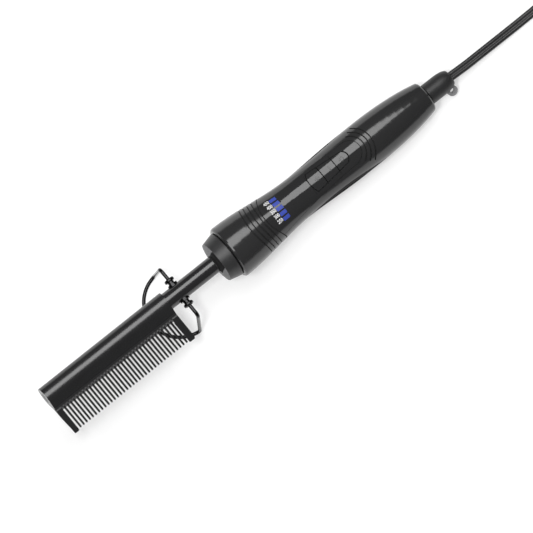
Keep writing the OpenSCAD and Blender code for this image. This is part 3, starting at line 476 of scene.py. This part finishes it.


# Nose collar. Matte grey heat-proof moulding at the front of the handle. Its front face is
# painted paler as painted light, and a painted shade of the neck darkens it above the neck.
collar_face_painted_light = (0.0004, 0.0002)
shade_middle = -0.0012
shade_edge = (0.0062, 0.0056)
shade_depth = 0.0003


def neck_shade():
    """Group that marks the strip of the collar's front face in the shade of the neck."""
    group = bpy.data.node_groups.new("neck_shade", "ShaderNodeTree")
    group.interface.new_socket(name="Shade", in_out="OUTPUT", socket_type="NodeSocketFloat")
    out = group.nodes.new("NodeGroupOutput")
    place = group.nodes.new("ShaderNodeGroup")
    place.node_tree = comb_coordinates
    beside = group.nodes.new("ShaderNodeMapRange")
    beside.inputs["From Min"].default_value, beside.inputs["From Max"].default_value = shade_edge
    off_middle = maths(group, "SUBTRACT", place.outputs["Across"], shade_middle)
    group.links.new(maths(group, "ABSOLUTE", off_middle), beside.inputs["Value"])
    in_front = maths(group, "LESS_THAN", place.outputs["Along"], shade_depth)
    above = maths(group, "GREATER_THAN", place.outputs["Up"], 0)
    shade = maths(group, "MULTIPLY", beside.outputs["Result"], in_front)
    group.links.new(maths(group, "MULTIPLY", shade, above), out.inputs["Shade"])
    return group


collar_grey = skinned("collar_grey", (0.021, 0.021, 0.0215), (0.028, 0.028, 0.0285), rough=0.33,
                      rough_more=0.1, depth=0.00002, specular=0.5, grain_size=0.0004,
                      swell_size=0.005)
zone(collar_grey, comb_coordinates, "Along", *collar_face_painted_light,
     colour=(0.185, 0.185, 0.19), rough=0.5)
zone(collar_grey, neck_shade(), "Shade", 0, 1, colour=(0.002, 0.002, 0.002), rough=0.9)
finish(collar_grey, "nose_collar")


# Neck holder and swivel bearing. Pale nylon bushes inside the handle. One clamps the neck tube
# and in the other the sleeve's journal turns.
nylon = skinned("holder_nylon", (0.16, 0.16, 0.155), (0.22, 0.22, 0.215), rough=0.4,
                rough_more=0.12, depth=0.00002, specular=0.45, grain_size=0.0005)
finish(nylon, "neck_holder", "swivel_bearing")


# Upper and lower shell. Glossy black mouldings with a faint swell of the plastic and hairline
# marks from handling. The grip grooves run all round, and the rear arcs only above.
groove_count = 4
groove_start = 0.0249
groove_step = 0.00283
groove_bow = 0.0335
groove_half = 0.0003
seam_half = 0.0002
key_front = 0.0684
key_splits = (0.0775, 0.0869)
key_half_width = 0.0064
key_end = 0.0915
key_end_radius = 0.0048
key_end_half_width = 0.0042
waist_middle = 0.088
waist_reach = 0.03
trim_height = 0.0045
panel_rear = 0.0972
panel_rear_radius = 0.0076
panel_front = 0.0352
panel_front_bow = 0.0202
panel_front_half = 0.00028
panel_front_reach = 0.006
arc_radius = 0.0103
arc_step = 0.0027
arc_half = 0.00032
arc_half_angles = (60, 54, 48)
parting_line = -0.0001


def shaded_grooves():
    """Group that marks the grooves, seams and low sides of the handle, where little light gets."""
    group = bpy.data.node_groups.new("shaded_grooves", "ShaderNodeTree")
    group.interface.new_socket(name="Shade", in_out="OUTPUT", socket_type="NodeSocketFloat")
    out = group.nodes.new("NodeGroupOutput")
    place = group.nodes.new("ShaderNodeGroup")
    place.node_tree = comb_coordinates
    along, across, up = (place.outputs[name] for name in ("Along", "Across", "Up"))

    def do(operation, *values):
        return maths(group, operation, *values)

    def both(a, b):
        return do("MULTIPLY", a, b)

    def near(value, target, half):
        return do("LESS_THAN", do("ABSOLUTE", do("SUBTRACT", value, target)), half)

    def from_axis(behind_middle):
        return do("SQRT", do("ADD", squared, both(behind_middle, behind_middle)))

    squared = both(across, across)
    above = do("GREATER_THAN", up, parting_line)
    bow = do("SUBTRACT", groove_bow, do("SQRT", do("SUBTRACT", groove_bow ** 2, squared)))
    behind_bow = do("SUBTRACT", along, bow)
    marks = [near(behind_bow, groove_start + groove * groove_step, groove_half)
             for groove in range(groove_count)]

    on_keys = both(near(across, 0, key_half_width), above)
    marks.append(both(near(along, key_front, seam_half), on_keys))
    for split in key_splits:
        marks.append(both(near(along, split, groove_half), on_keys))
    past_key = do("SUBTRACT", along, key_end)
    key_tip = both(near(from_axis(past_key), key_end_radius, groove_half),
                   near(across, 0, key_end_half_width))
    marks.append(both(key_tip, both(do("GREATER_THAN", past_key, 0), above)))

    from_waist = do("DIVIDE", do("SUBTRACT", along, waist_middle), waist_reach)
    trim_top = do("MULTIPLY", trim_height, do("SUBTRACT", 1, both(from_waist, from_waist)))
    marks.append(both(do("LESS_THAN", up, trim_top), above))

    behind_panel = do("SUBTRACT", along, panel_rear)
    behind = both(do("GREATER_THAN", behind_panel, 0), above)
    ring = from_axis(behind_panel)
    slope = do("DIVIDE", do("ABSOLUTE", across), behind_panel)
    for arc, half_angle in enumerate(arc_half_angles):
        in_reach = both(do("LESS_THAN", slope, math.tan(math.radians(half_angle))), behind)
        marks.append(both(near(ring, arc_radius + arc * arc_step, arc_half), in_reach))
    marks.append(both(near(ring, panel_rear_radius, seam_half), behind))
    bow_middle = do("SUBTRACT", along, panel_front + panel_front_bow)
    at_front = both(do("LESS_THAN", along, panel_front + panel_front_reach), above)
    marks.append(both(near(from_axis(bow_middle), panel_front_bow, panel_front_half), at_front))

    total = marks[0]
    for mark in marks[1:]:
        total = do("MAXIMUM", total, mark)
    group.links.new(total, out.inputs["Shade"])
    return group


# Painted shade: grooves, seams, key splits and the low sides turn near black and matt.
groove_shade = shaded_grooves()
groove_painted_shade = (0.001, 0.001, 0.001)
handle_black = skinned("handle_black", (0.017, 0.017, 0.0175), (0.022, 0.022, 0.0225),
                       rough=0.13, rough_more=0.05, depth=0.000004, specular=0.65,
                       grain_size=0.0006, grain=0.2, swell_size=0.009, swell=0.6, marks=0.35)
zone(handle_black, groove_shade, "Shade", 0, 1, colour=groove_painted_shade, rough=0.9)
finish(handle_black, "upper_shell")
# The lower shell is the same black moulding, painted darker as painted shade on its downward face.
lower_black_painted_shade = skinned("lower_black_painted_shade", (0.009, 0.009, 0.0095), (0.012, 0.012, 0.0125), rough=0.2,
                      rough_more=0.08, depth=0.000008, specular=0.3, grain_size=0.0006,
                      grain=0.3, swell_size=0.009, swell=0.8, marks=0.35)
zone(lower_black_painted_shade, groove_shade, "Shade", 0, 1, colour=groove_painted_shade, rough=0.9)
finish(lower_black_painted_shade, "lower_shell")


# Case screws. Two zinc-plated steel screws with a brushed look, driven from below. They hold the
# shells together.
screw_steel = skinned("screw_steel", (0.32, 0.32, 0.33), (0.45, 0.45, 0.46), rough=0.25,
                      rough_more=0.15, depth=0.00001, metallic=1, grain_size=0.0002,
                      swell_size=0.002, marks=0.7)
finish(screw_steel, "case_screws")


# Control panel and light windows. A high-gloss black inlay, and five blue windows that glow a
# little from the lamps behind them.
panel_black = skinned("panel_black", (0.016, 0.016, 0.0165), (0.02, 0.02, 0.0205), rough=0.07,
                      rough_more=0.03, depth=0.000003, specular=0.65, grain_size=0.0008,
                      grain=0.1, swell_size=0.01, swell=0.6, marks=0.3)
# Painted shade darkens the seams round the inlay and the splits between the keys.
zone(panel_black, groove_shade, "Shade", 0, 1, colour=groove_painted_shade, rough=0.9)
finish(panel_black, "control_panel")
window_glow = 0.04
window_blue = skinned("window_blue", (0.036, 0.059, 0.3), (0.044, 0.07, 0.35), rough=0.35,
                      rough_more=0.08, depth=0.000006, specular=0.3, grain_size=0.0005,
                      swell_size=0.003)
window_surface = window_blue.node_tree.nodes["Principled BSDF"]
window_surface.inputs["Emission Color"].default_value = (0.06, 0.1, 0.6, 1)
window_surface.inputs["Emission Strength"].default_value = window_glow
finish(window_blue, "led_windows")


# Heat numbers. White print on the panel, one number of degrees beside each window. The ink stands
# a hair above the gloss.
number_along = 0.0419
number_above = 0.0165
number_size = 0.0032
number_narrow = 0.74
number_weight = 0.00011
number_turn = 13.8
number_lean = -1.9
ink_gap = 0.00002
ink_thickness = 0.00003
number_white = skinned("number_white", (0.62, 0.62, 0.63), (0.7, 0.7, 0.71), rough=0.45,
                       rough_more=0.1, depth=0.000005, specular=0.3, grain_size=0.0002,
                       swell_size=0.0008)
axis_turn = Matrix((handle_axis, Vector((0, 1, 0)), handle_axis.cross(Vector((0, 1, 0)))))
comb_frame = Matrix.Translation(collar_front) @ axis_turn.transposed().to_4x4()


def drop_on(piece, node, gap=0):
    """Lowers a piece, which is the active one, along its own Z on to a node."""
    drop = piece.modifiers.new("drop", "SHRINKWRAP")
    drop.target = nodes[node]
    drop.wrap_method = "PROJECT"
    drop.use_project_z = True
    drop.use_negative_direction = True
    drop.use_positive_direction = False
    drop.offset = gap
    bpy.ops.object.modifier_apply(modifier="drop")


numbers = []
for step, degrees in enumerate((450, 400, 350, 300, 250)):
    bpy.ops.object.select_all(action="DESELECT")
    bpy.ops.object.text_add(location=(0, 0, 0))
    number = bpy.context.object
    number.data.body = str(degrees)
    number.data.size = number_size
    number.data.offset = number_weight
    number.data.align_x = "CENTER"
    number.data.align_y = "CENTER"
    number.data.resolution_u = 3
    bpy.ops.object.convert(target="MESH")
    number = bpy.context.object
    around = math.radians((step - 2) * number_turn + number_lean)
    spot = Matrix.Rotation(around, 4, "X") @ Matrix.Translation((number_along, 0, number_above))
    number.matrix_world = comb_frame @ spot @ Matrix.Diagonal((number_narrow, 1, 1, 1))
    numbers.append(number)
bpy.ops.object.select_all(action="DESELECT")
for number in numbers:
    number.select_set(True)
    bpy.context.view_layer.objects.active = number
    drop_on(number, "control_panel", ink_gap)
bpy.ops.object.transform_apply(location=True, rotation=True, scale=True)
bpy.context.view_layer.objects.active = numbers[0]
bpy.ops.object.join()
heat_numbers = bpy.context.object
heat_numbers.name = "heat_numbers"
ink = heat_numbers.modifiers.new("ink", "SOLIDIFY")
ink.thickness = ink_thickness
ink.offset = 1
bpy.ops.object.modifier_apply(modifier="ink")
heat_numbers.data.materials.clear()
heat_numbers.data.materials.append(number_white)
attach(heat_numbers, "handle")


# Buttons. High-gloss black keys in a row along the panel. Each stands on its switch and travels
# half a millimetre.
button_black = skinned("button_black", (0.016, 0.016, 0.0165), (0.02, 0.02, 0.0205), rough=0.07,
                       rough_more=0.03, depth=0.000003, specular=0.65, grain_size=0.0008,
                       grain=0.1, swell_size=0.008, swell=0.6, marks=0.5)
# Painted shade darkens the splits between the keys and round the power key's end.
zone(button_black, groove_shade, "Shade", 0, 1, colour=groove_painted_shade, rough=0.9)
finish(button_black, "plus_button", "minus_button", "power_button")


# Key signs. A plus, a minus and a power mark that stand up from the crowns of the keys. They are
# moulded with the keys and left matt.
sign_above = 0.03
sign_height = 0.00012
sign_edge = 0.00006
bar_length = 0.0032
bar_half = 0.0004
ring_radius = 0.0014
ring_inner_share = 0.7
ring_gap_half = 0.0006
stem_length = 0.0016
stem_share = 0.25
stem_place = (-0.0012, 0, 0)
sign_black = skinned("sign_black", (0.02, 0.02, 0.0205), (0.026, 0.026, 0.0265), rough=0.24,
                     rough_more=0.08, depth=0.00001, specular=0.7, grain_size=0.0003,
                     swell_size=0.003)


def key_sign(name, key, shape, along):
    """Raises a flat sign on the crown of a key, along metres behind the collar's front."""
    bpy.ops.object.select_all(action="DESELECT")
    if shape == "power":
        bpy.ops.mesh.primitive_circle_add(vertices=32, radius=ring_radius)
        bpy.ops.object.mode_set(mode="EDIT")
        bpy.ops.mesh.select_mode(type="VERT")
        bpy.ops.mesh.extrude_region_move()
        bpy.ops.transform.resize(value=(ring_inner_share, ring_inner_share, 1))
    else:
        bpy.ops.mesh.primitive_grid_add(x_subdivisions=8, y_subdivisions=8, size=bar_length)
        bpy.ops.object.mode_set(mode="EDIT")
    sign = bpy.context.edit_object
    drawn = bmesh.from_edit_mesh(sign.data)
    bpy.ops.mesh.select_mode(type="FACE")
    bpy.ops.mesh.select_all(action="DESELECT")
    for face in drawn.faces:
        middle = face.calc_center_median()
        in_bar = abs(middle.x) < bar_half
        in_stem = abs(middle.y) < bar_half
        in_gap = middle.x < 0 and abs(middle.y) < ring_gap_half
        keep = {"plus": in_bar or in_stem, "minus": in_bar, "power": not in_gap}[shape]
        face.select_set(not keep)
    bmesh.update_edit_mesh(sign.data)
    bpy.ops.mesh.delete(type="FACE")
    drawn.faces.ensure_lookup_table()
    if drawn.faces[0].normal.z < 0:
        bpy.ops.mesh.select_all(action="SELECT")
        bpy.ops.mesh.flip_normals()
    bpy.ops.object.mode_set(mode="OBJECT")
    if shape == "power":
        bpy.ops.mesh.primitive_grid_add(x_subdivisions=4, y_subdivisions=2, size=stem_length,
                                        location=stem_place)
        stem = bpy.context.object
        bpy.ops.object.mode_set(mode="EDIT")
        bpy.ops.transform.resize(value=(1, stem_share, 1), center_override=stem_place)
        bpy.ops.object.mode_set(mode="OBJECT")
        sign.select_set(True)
        stem.select_set(True)
        bpy.context.view_layer.objects.active = sign
        bpy.ops.object.join()
    sign.name = name
    sign.matrix_world = comb_frame @ Matrix.Translation((along, 0, sign_above))
    bpy.context.view_layer.update()
    drop_on(sign, key)
    rise = sign.modifiers.new("rise", "SOLIDIFY")
    rise.thickness = sign_height
    rise.offset = 1
    bpy.ops.object.modifier_apply(modifier="rise")
    soften = sign.modifiers.new("soften", "BEVEL")
    soften.width = sign_edge
    soften.segments = 2
    bpy.ops.object.modifier_apply(modifier="soften")
    bpy.ops.object.transform_apply(location=True, rotation=True, scale=True)
    sign.data.materials.clear()
    sign.data.materials.append(sign_black)
    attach(sign, key.replace("button", "key"))


key_sign("plus_sign", "plus_button", "plus", along=0.0738)
key_sign("minus_sign", "minus_button", "minus", along=0.083)
key_sign("power_sign", "power_button", "power", along=0.0918)


# Circuit board, switches, lamps and parts on the board. Green laminate with tinned pads,
# moulded switches and clear lamps.
board_green = skinned("board_green", (0.02, 0.12, 0.045), (0.035, 0.17, 0.065), rough=0.3,
                      rough_more=0.15, depth=0.00003, specular=0.5, grain_size=0.0012,
                      swell_size=0.004, marks=0.6)
finish(board_green, "circuit_board")
switch_black = skinned("switch_black", (0.02, 0.02, 0.021), (0.032, 0.032, 0.033), rough=0.4,
                       rough_more=0.15, depth=0.00001, specular=0.45)
finish(switch_black, "tact_switches")
led_resin = skinned("led_resin", (0.6, 0.62, 0.7), (0.72, 0.74, 0.8), rough=0.08,
                    rough_more=0.06, depth=0.000004, specular=0.5)
finish(led_resin, "indicator_leds")
component_grey = skinned("component_grey", (0.07, 0.075, 0.085), (0.12, 0.12, 0.13), rough=0.35,
                         rough_more=0.2, depth=0.00001, specular=0.5, swell_size=0.005)
finish(component_grey, "power_components")


# Turning sleeve and its eye. Soft black rubber with a fine dry grain, moulded over the swivel,
# and a light grey eye to hang the comb by.
sleeve_rubber = skinned("sleeve_rubber", (0.014, 0.014, 0.0145), (0.019, 0.019, 0.0195),
                        rough=0.4, rough_more=0.1, depth=0.00003, specular=0.5,
                        grain_size=0.00035, swell_size=0.005, marks=0.2)
finish(sleeve_rubber, "cord_swivel")
eye_grey = skinned("eye_grey", (0.2, 0.2, 0.205), (0.27, 0.27, 0.275), rough=0.35,
                   rough_more=0.12, depth=0.00002, specular=0.5, grain_size=0.0004,
                   swell_size=0.002)
finish(eye_grey, "hang_loop")


# Cord jacket. Black flexible sheath with a dull sheen, marked by handling along its length. It
# runs from the sleeve to the plug in one piece.
cord_jacket = skinned("cord_jacket", (0.012, 0.012, 0.0125), (0.018, 0.018, 0.0185), rough=0.3,
                      rough_more=0.12, depth=0.00002, specular=0.55, grain_size=0.0005,
                      swell_size=0.01, marks=0.3)
cord.data.materials.append(cord_jacket)


# Cord tie. A woven strap closed round the middle of the hank. Its free end is lapped on top,
# narrowed at the tip and left to curl up a little.
tie_width = 0.012
tie_half = 0.01561
tie_top = 0.0102
tie_corner = 0.0028
tie_cloth = 0.0008
tie_gap = 0.00002
tie_hem = 0.00015
lap_length = 0.018
lap_shift = 0.002
lap_width_share = 0.94
curl_from = -0.004
curl = 62.5
lap_tip_from = -0.0065
lap_tip_beyond = 0.4
lap_tip_narrowed = 0.82
thread_size = 0.0006
thread_relief = 0.0002
strap_black = skinned("strap_black", (0.03, 0.03, 0.031), (0.055, 0.055, 0.057), rough=0.75,
                      rough_more=0.15, depth=0.00006, specular=0.25, grain_size=0.0004,
                      swell_size=0.003)


def woven_height():
    """Group for a plain weave: threads that pass over and under each other."""
    group = bpy.data.node_groups.new("woven_height", "ShaderNodeTree")
    group.interface.new_socket(name="Thread Size", in_out="INPUT", socket_type="NodeSocketFloat")
    group.interface.new_socket(name="Height", in_out="OUTPUT", socket_type="NodeSocketFloat")
    given = group.nodes.new("NodeGroupInput").outputs
    out = group.nodes.new("NodeGroupOutput")
    place = group.nodes.new("ShaderNodeTexCoord")
    split = group.nodes.new("ShaderNodeSeparateXYZ")
    group.links.new(place.outputs["Object"], split.inputs[0])
    around = maths(group, "ADD", split.outputs["Y"], split.outputs["Z"])
    waves = []
    for way in (split.outputs["X"], around):
        turns = maths(group, "DIVIDE", way, given["Thread Size"])
        waves.append(maths(group, "SINE", maths(group, "MULTIPLY", turns, math.pi)))
    group.links.new(maths(group, "MULTIPLY", *waves), out.inputs["Height"])
    return group


strap_tree = strap_black.node_tree
weave = strap_tree.nodes.new("ShaderNodeGroup")
weave.node_tree = woven_height()
weave.inputs["Thread Size"].default_value = thread_size
threads = strap_tree.nodes.new("ShaderNodeBump")
threads.inputs["Distance"].default_value = thread_relief
strap_tree.links.new(weave.outputs["Height"], threads.inputs["Height"])
strap_surface = strap_tree.nodes["Principled BSDF"]
strap_tree.links.new(strap_surface.inputs["Normal"].links[0].from_socket, threads.inputs["Normal"])
strap_tree.links.new(threads.outputs["Normal"], strap_surface.inputs["Normal"])

bpy.ops.object.select_all(action="DESELECT")
bpy.ops.mesh.primitive_cube_add(size=1)
cord_strap = bpy.context.object
cord_strap.name = "cord_strap"
bpy.ops.object.mode_set(mode="EDIT")
bpy.ops.transform.resize(value=(tie_width, 2 * tie_half, tie_top))
bpy.ops.mesh.select_mode(type="FACE")
bpy.ops.mesh.select_all(action="DESELECT")
drawn = bmesh.from_edit_mesh(cord_strap.data)
for face in drawn.faces:
    face.select_set(abs(face.normal.x) > 0.9)
bmesh.update_edit_mesh(cord_strap.data)
bpy.ops.mesh.delete(type="FACE")
bpy.ops.mesh.select_mode(type="EDGE")
bpy.ops.mesh.select_all(action="SELECT")
bpy.ops.mesh.bevel(offset=tie_corner, segments=6, profile=0.5)
bpy.ops.object.mode_set(mode="OBJECT")
cloth = cord_strap.modifiers.new("cloth", "SOLIDIFY")
cloth.thickness = tie_cloth
cloth.offset = -1
bpy.ops.object.modifier_apply(modifier="cloth")
bpy.ops.mesh.primitive_grid_add(x_subdivisions=6, y_subdivisions=12, size=1)
lap = bpy.context.object
bpy.ops.object.mode_set(mode="EDIT")
bpy.ops.transform.resize(value=(tie_width * lap_width_share, lap_length, 1))
bpy.ops.transform.translate(value=(0, lap_shift, tie_top / 2 + tie_gap))
bpy.ops.mesh.select_all(action="DESELECT")
drawn = bmesh.from_edit_mesh(lap.data)
for vert in drawn.verts:
    if vert.co.y < curl_from:
        vert.co.z += curl * (curl_from - vert.co.y) ** 2
    if vert.co.y < lap_tip_from and abs(vert.co.x) > tie_width * lap_tip_beyond:
        vert.co.x *= lap_tip_narrowed
bmesh.update_edit_mesh(lap.data)
bpy.ops.object.mode_set(mode="OBJECT")
cloth = lap.modifiers.new("cloth", "SOLIDIFY")
cloth.thickness = tie_cloth
cloth.offset = 1
bpy.ops.object.modifier_apply(modifier="cloth")
bpy.ops.object.select_all(action="DESELECT")
cord_strap.select_set(True)
lap.select_set(True)
bpy.context.view_layer.objects.active = cord_strap
bpy.ops.object.join()
cord_strap.location = hank_centre + Vector((0, 0, tie_top / 2 + tie_gap))
bpy.ops.object.transform_apply(location=True, rotation=True, scale=True)
hem = cord_strap.modifiers.new("hem", "BEVEL")
hem.width = tie_hem
hem.segments = 2
bpy.ops.object.modifier_apply(modifier="hem")
bpy.ops.object.shade_smooth_by_angle(angle=math.radians(35))
cord_strap.data.materials.clear()
cord_strap.data.materials.append(strap_black)
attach(cord_strap, "handle")
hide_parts("cord_tie")


# Plug. Two-pole body moulded in rubber over its blades, with a grip waist on both sides and a
# ribbed relief that lets the cord bend.
plug_middle = Vector((0.3, -0.013, 0.0055))
plug_length = 0.0238
plug_width = 0.0198
plug_height = 0.0108
taper_from = 0.002
taper_reach = 0.0139
taper_width = 0.42
taper_height = 0.14
grip_depth = 0.07
grip_height = 0.0045
grip_from = 0.0075
plug_edge = 0.0016
relief_start = -0.032
relief_end = -0.0095
rib_count = 9
rib_edge = 0.00012
root_radius = 0.0031
first_crest = 0.0033
crest_growth = 0.0011
rib_depth = 0.0007
plug_rubber = skinned("plug_rubber", (0.014, 0.014, 0.0145), (0.02, 0.02, 0.021), rough=0.4,
                      rough_more=0.12, depth=0.00003, specular=0.45, grain_size=0.0004,
                      swell_size=0.006)
bpy.ops.object.select_all(action="DESELECT")
bpy.ops.mesh.primitive_cube_add(size=1)
plug_shell = bpy.context.object
plug_shell.name = "plug_shell"
bpy.ops.object.mode_set(mode="EDIT")
bpy.ops.transform.resize(value=(plug_length, plug_width, plug_height))
bpy.ops.mesh.select_mode(type="EDGE")
bpy.ops.mesh.subdivide(number_cuts=5)
drawn = bmesh.from_edit_mesh(plug_shell.data)
for vert in drawn.verts:
    back = max(0, (taper_from - vert.co.x) / taper_reach)
    vert.co.y *= 1 - taper_width * back ** 1.6
    vert.co.z *= 1 - taper_height * back ** 2
    if abs(vert.co.z) < grip_height and abs(vert.co.y) > grip_from:
        vert.co.y *= 1 - grip_depth * math.cos(vert.co.x / (plug_length / 2) * math.pi / 2)
bmesh.update_edit_mesh(plug_shell.data)
bpy.ops.object.mode_set(mode="OBJECT")
round_off = plug_shell.modifiers.new("round_off", "BEVEL")
round_off.width = plug_edge
round_off.segments = 3
round_off.angle_limit = math.radians(50)
bpy.ops.object.modifier_apply(modifier="round_off")
soft = plug_shell.modifiers.new("soft", "SUBSURF")
soft.levels = 1
soft.render_levels = 1
bpy.ops.object.modifier_apply(modifier="soft")
bpy.ops.object.select_all(action="DESELECT")
bpy.ops.mesh.primitive_circle_add(vertices=32, radius=root_radius, fill_type="NGON",
                                  rotation=(0, math.pi / 2, 0), location=(relief_start, 0, 0))
relief = bpy.context.object
bpy.ops.object.transform_apply(location=True, rotation=True, scale=True)
bpy.ops.object.mode_set(mode="EDIT")
rib_length = (relief_end - relief_start) / rib_count
relief_radius = root_radius
for rib in range(rib_count):
    crest = first_crest + crest_growth * (rib + 1) / rib_count
    root = crest - rib_depth
    for share, radius in ((0.12, crest), (0.5, crest), (0.12, root), (0.26, root)):
        bpy.ops.mesh.extrude_region_move(
            TRANSFORM_OT_translate={"value": (share * rib_length, 0, 0)})
        bpy.ops.transform.resize(value=(1, radius / relief_radius, radius / relief_radius))
        relief_radius = radius
bpy.ops.mesh.select_all(action="SELECT")
bpy.ops.mesh.normals_make_consistent(inside=False)
bpy.ops.object.mode_set(mode="OBJECT")
edges = relief.modifiers.new("edges", "BEVEL")
edges.width = rib_edge
edges.segments = 2
bpy.ops.object.modifier_apply(modifier="edges")
plug_shell.select_set(True)
bpy.context.view_layer.objects.active = plug_shell
bpy.ops.object.join()
plug_shell.location = plug_middle
bpy.ops.object.transform_apply(location=True, rotation=True, scale=True)
bpy.ops.object.shade_smooth_by_angle(angle=math.radians(40))
plug_shell.data.materials.clear()
plug_shell.data.materials.append(plug_rubber)
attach(plug_shell, "handle")
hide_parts("plug_body")


# Plug blades. Two flat brass blades, stamped with a round hole and eased at the tip. The body is
# moulded over their inner ends.
blade_start = 0.312
blade_length = 0.017
blade_thick = 0.0015
blade_height = 0.00635
blade_spacing = 0.0127
blade_hole = 0.0015
hole_place = 0.26
punch_depth = 0.004
tip_corner = 0.0012
tip_ease = 0.0005
blade_edge = 0.00012
bpy.ops.object.select_all(action="DESELECT")
bpy.ops.mesh.primitive_cube_add(size=1)
blade = bpy.context.object
bpy.ops.object.mode_set(mode="EDIT")
bpy.ops.transform.resize(value=(blade_length, blade_thick, blade_height))
bpy.ops.mesh.select_mode(type="EDGE")
for across_tip, reach, steps in ((True, tip_corner, 3), (False, tip_ease, 2)):
    bpy.ops.mesh.select_all(action="DESELECT")
    drawn = bmesh.from_edit_mesh(blade.data)
    for edge in drawn.edges:
        a, b = (corner.co for corner in edge.verts)
        at_tip = min(a.x, b.x) > blade_length * 0.45
        along_thickness = abs(a.y - b.y) > blade_thick / 2
        edge.select_set(at_tip and along_thickness == across_tip
                        and (across_tip or abs(a.z - b.z) > blade_height / 4))
    bmesh.update_edit_mesh(blade.data)
    bpy.ops.mesh.bevel(offset=reach, segments=steps)
bpy.ops.object.mode_set(mode="OBJECT")
bpy.ops.mesh.primitive_cylinder_add(vertices=32, radius=blade_hole, depth=punch_depth,
                                    rotation=(math.pi / 2, 0, 0),
                                    location=(blade_length * hole_place, 0, 0))
punch = bpy.context.object
bpy.ops.object.select_all(action="DESELECT")
blade.select_set(True)
bpy.context.view_layer.objects.active = blade
stamped = blade.modifiers.new("stamped", "BOOLEAN")
stamped.operation = "DIFFERENCE"
stamped.object = punch
bpy.ops.object.modifier_apply(modifier="stamped")
bpy.data.objects.remove(punch)
rim = blade.modifiers.new("rim", "BEVEL")
rim.width = blade_edge
rim.segments = 2
rim.angle_limit = math.radians(40)
bpy.ops.object.modifier_apply(modifier="rim")
second_blade = blade.copy()
second_blade.data = blade.data.copy()
bpy.context.collection.objects.link(second_blade)
for piece, side in ((blade, -1), (second_blade, 1)):
    piece.location = (blade_start + blade_length / 2,
                      plug_middle.y + side * blade_spacing / 2, plug_middle.z)
    piece.select_set(True)
bpy.ops.object.transform_apply(location=True, rotation=True, scale=True)
bpy.ops.object.join()
stamped_blades = bpy.context.object
stamped_blades.name = "stamped_blades"
bpy.ops.object.shade_smooth_by_angle(angle=math.radians(35))
stamped_blades.data.materials.clear()
stamped_blades.data.materials.append(brass)
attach(stamped_blades, "handle")
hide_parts("plug_blades")
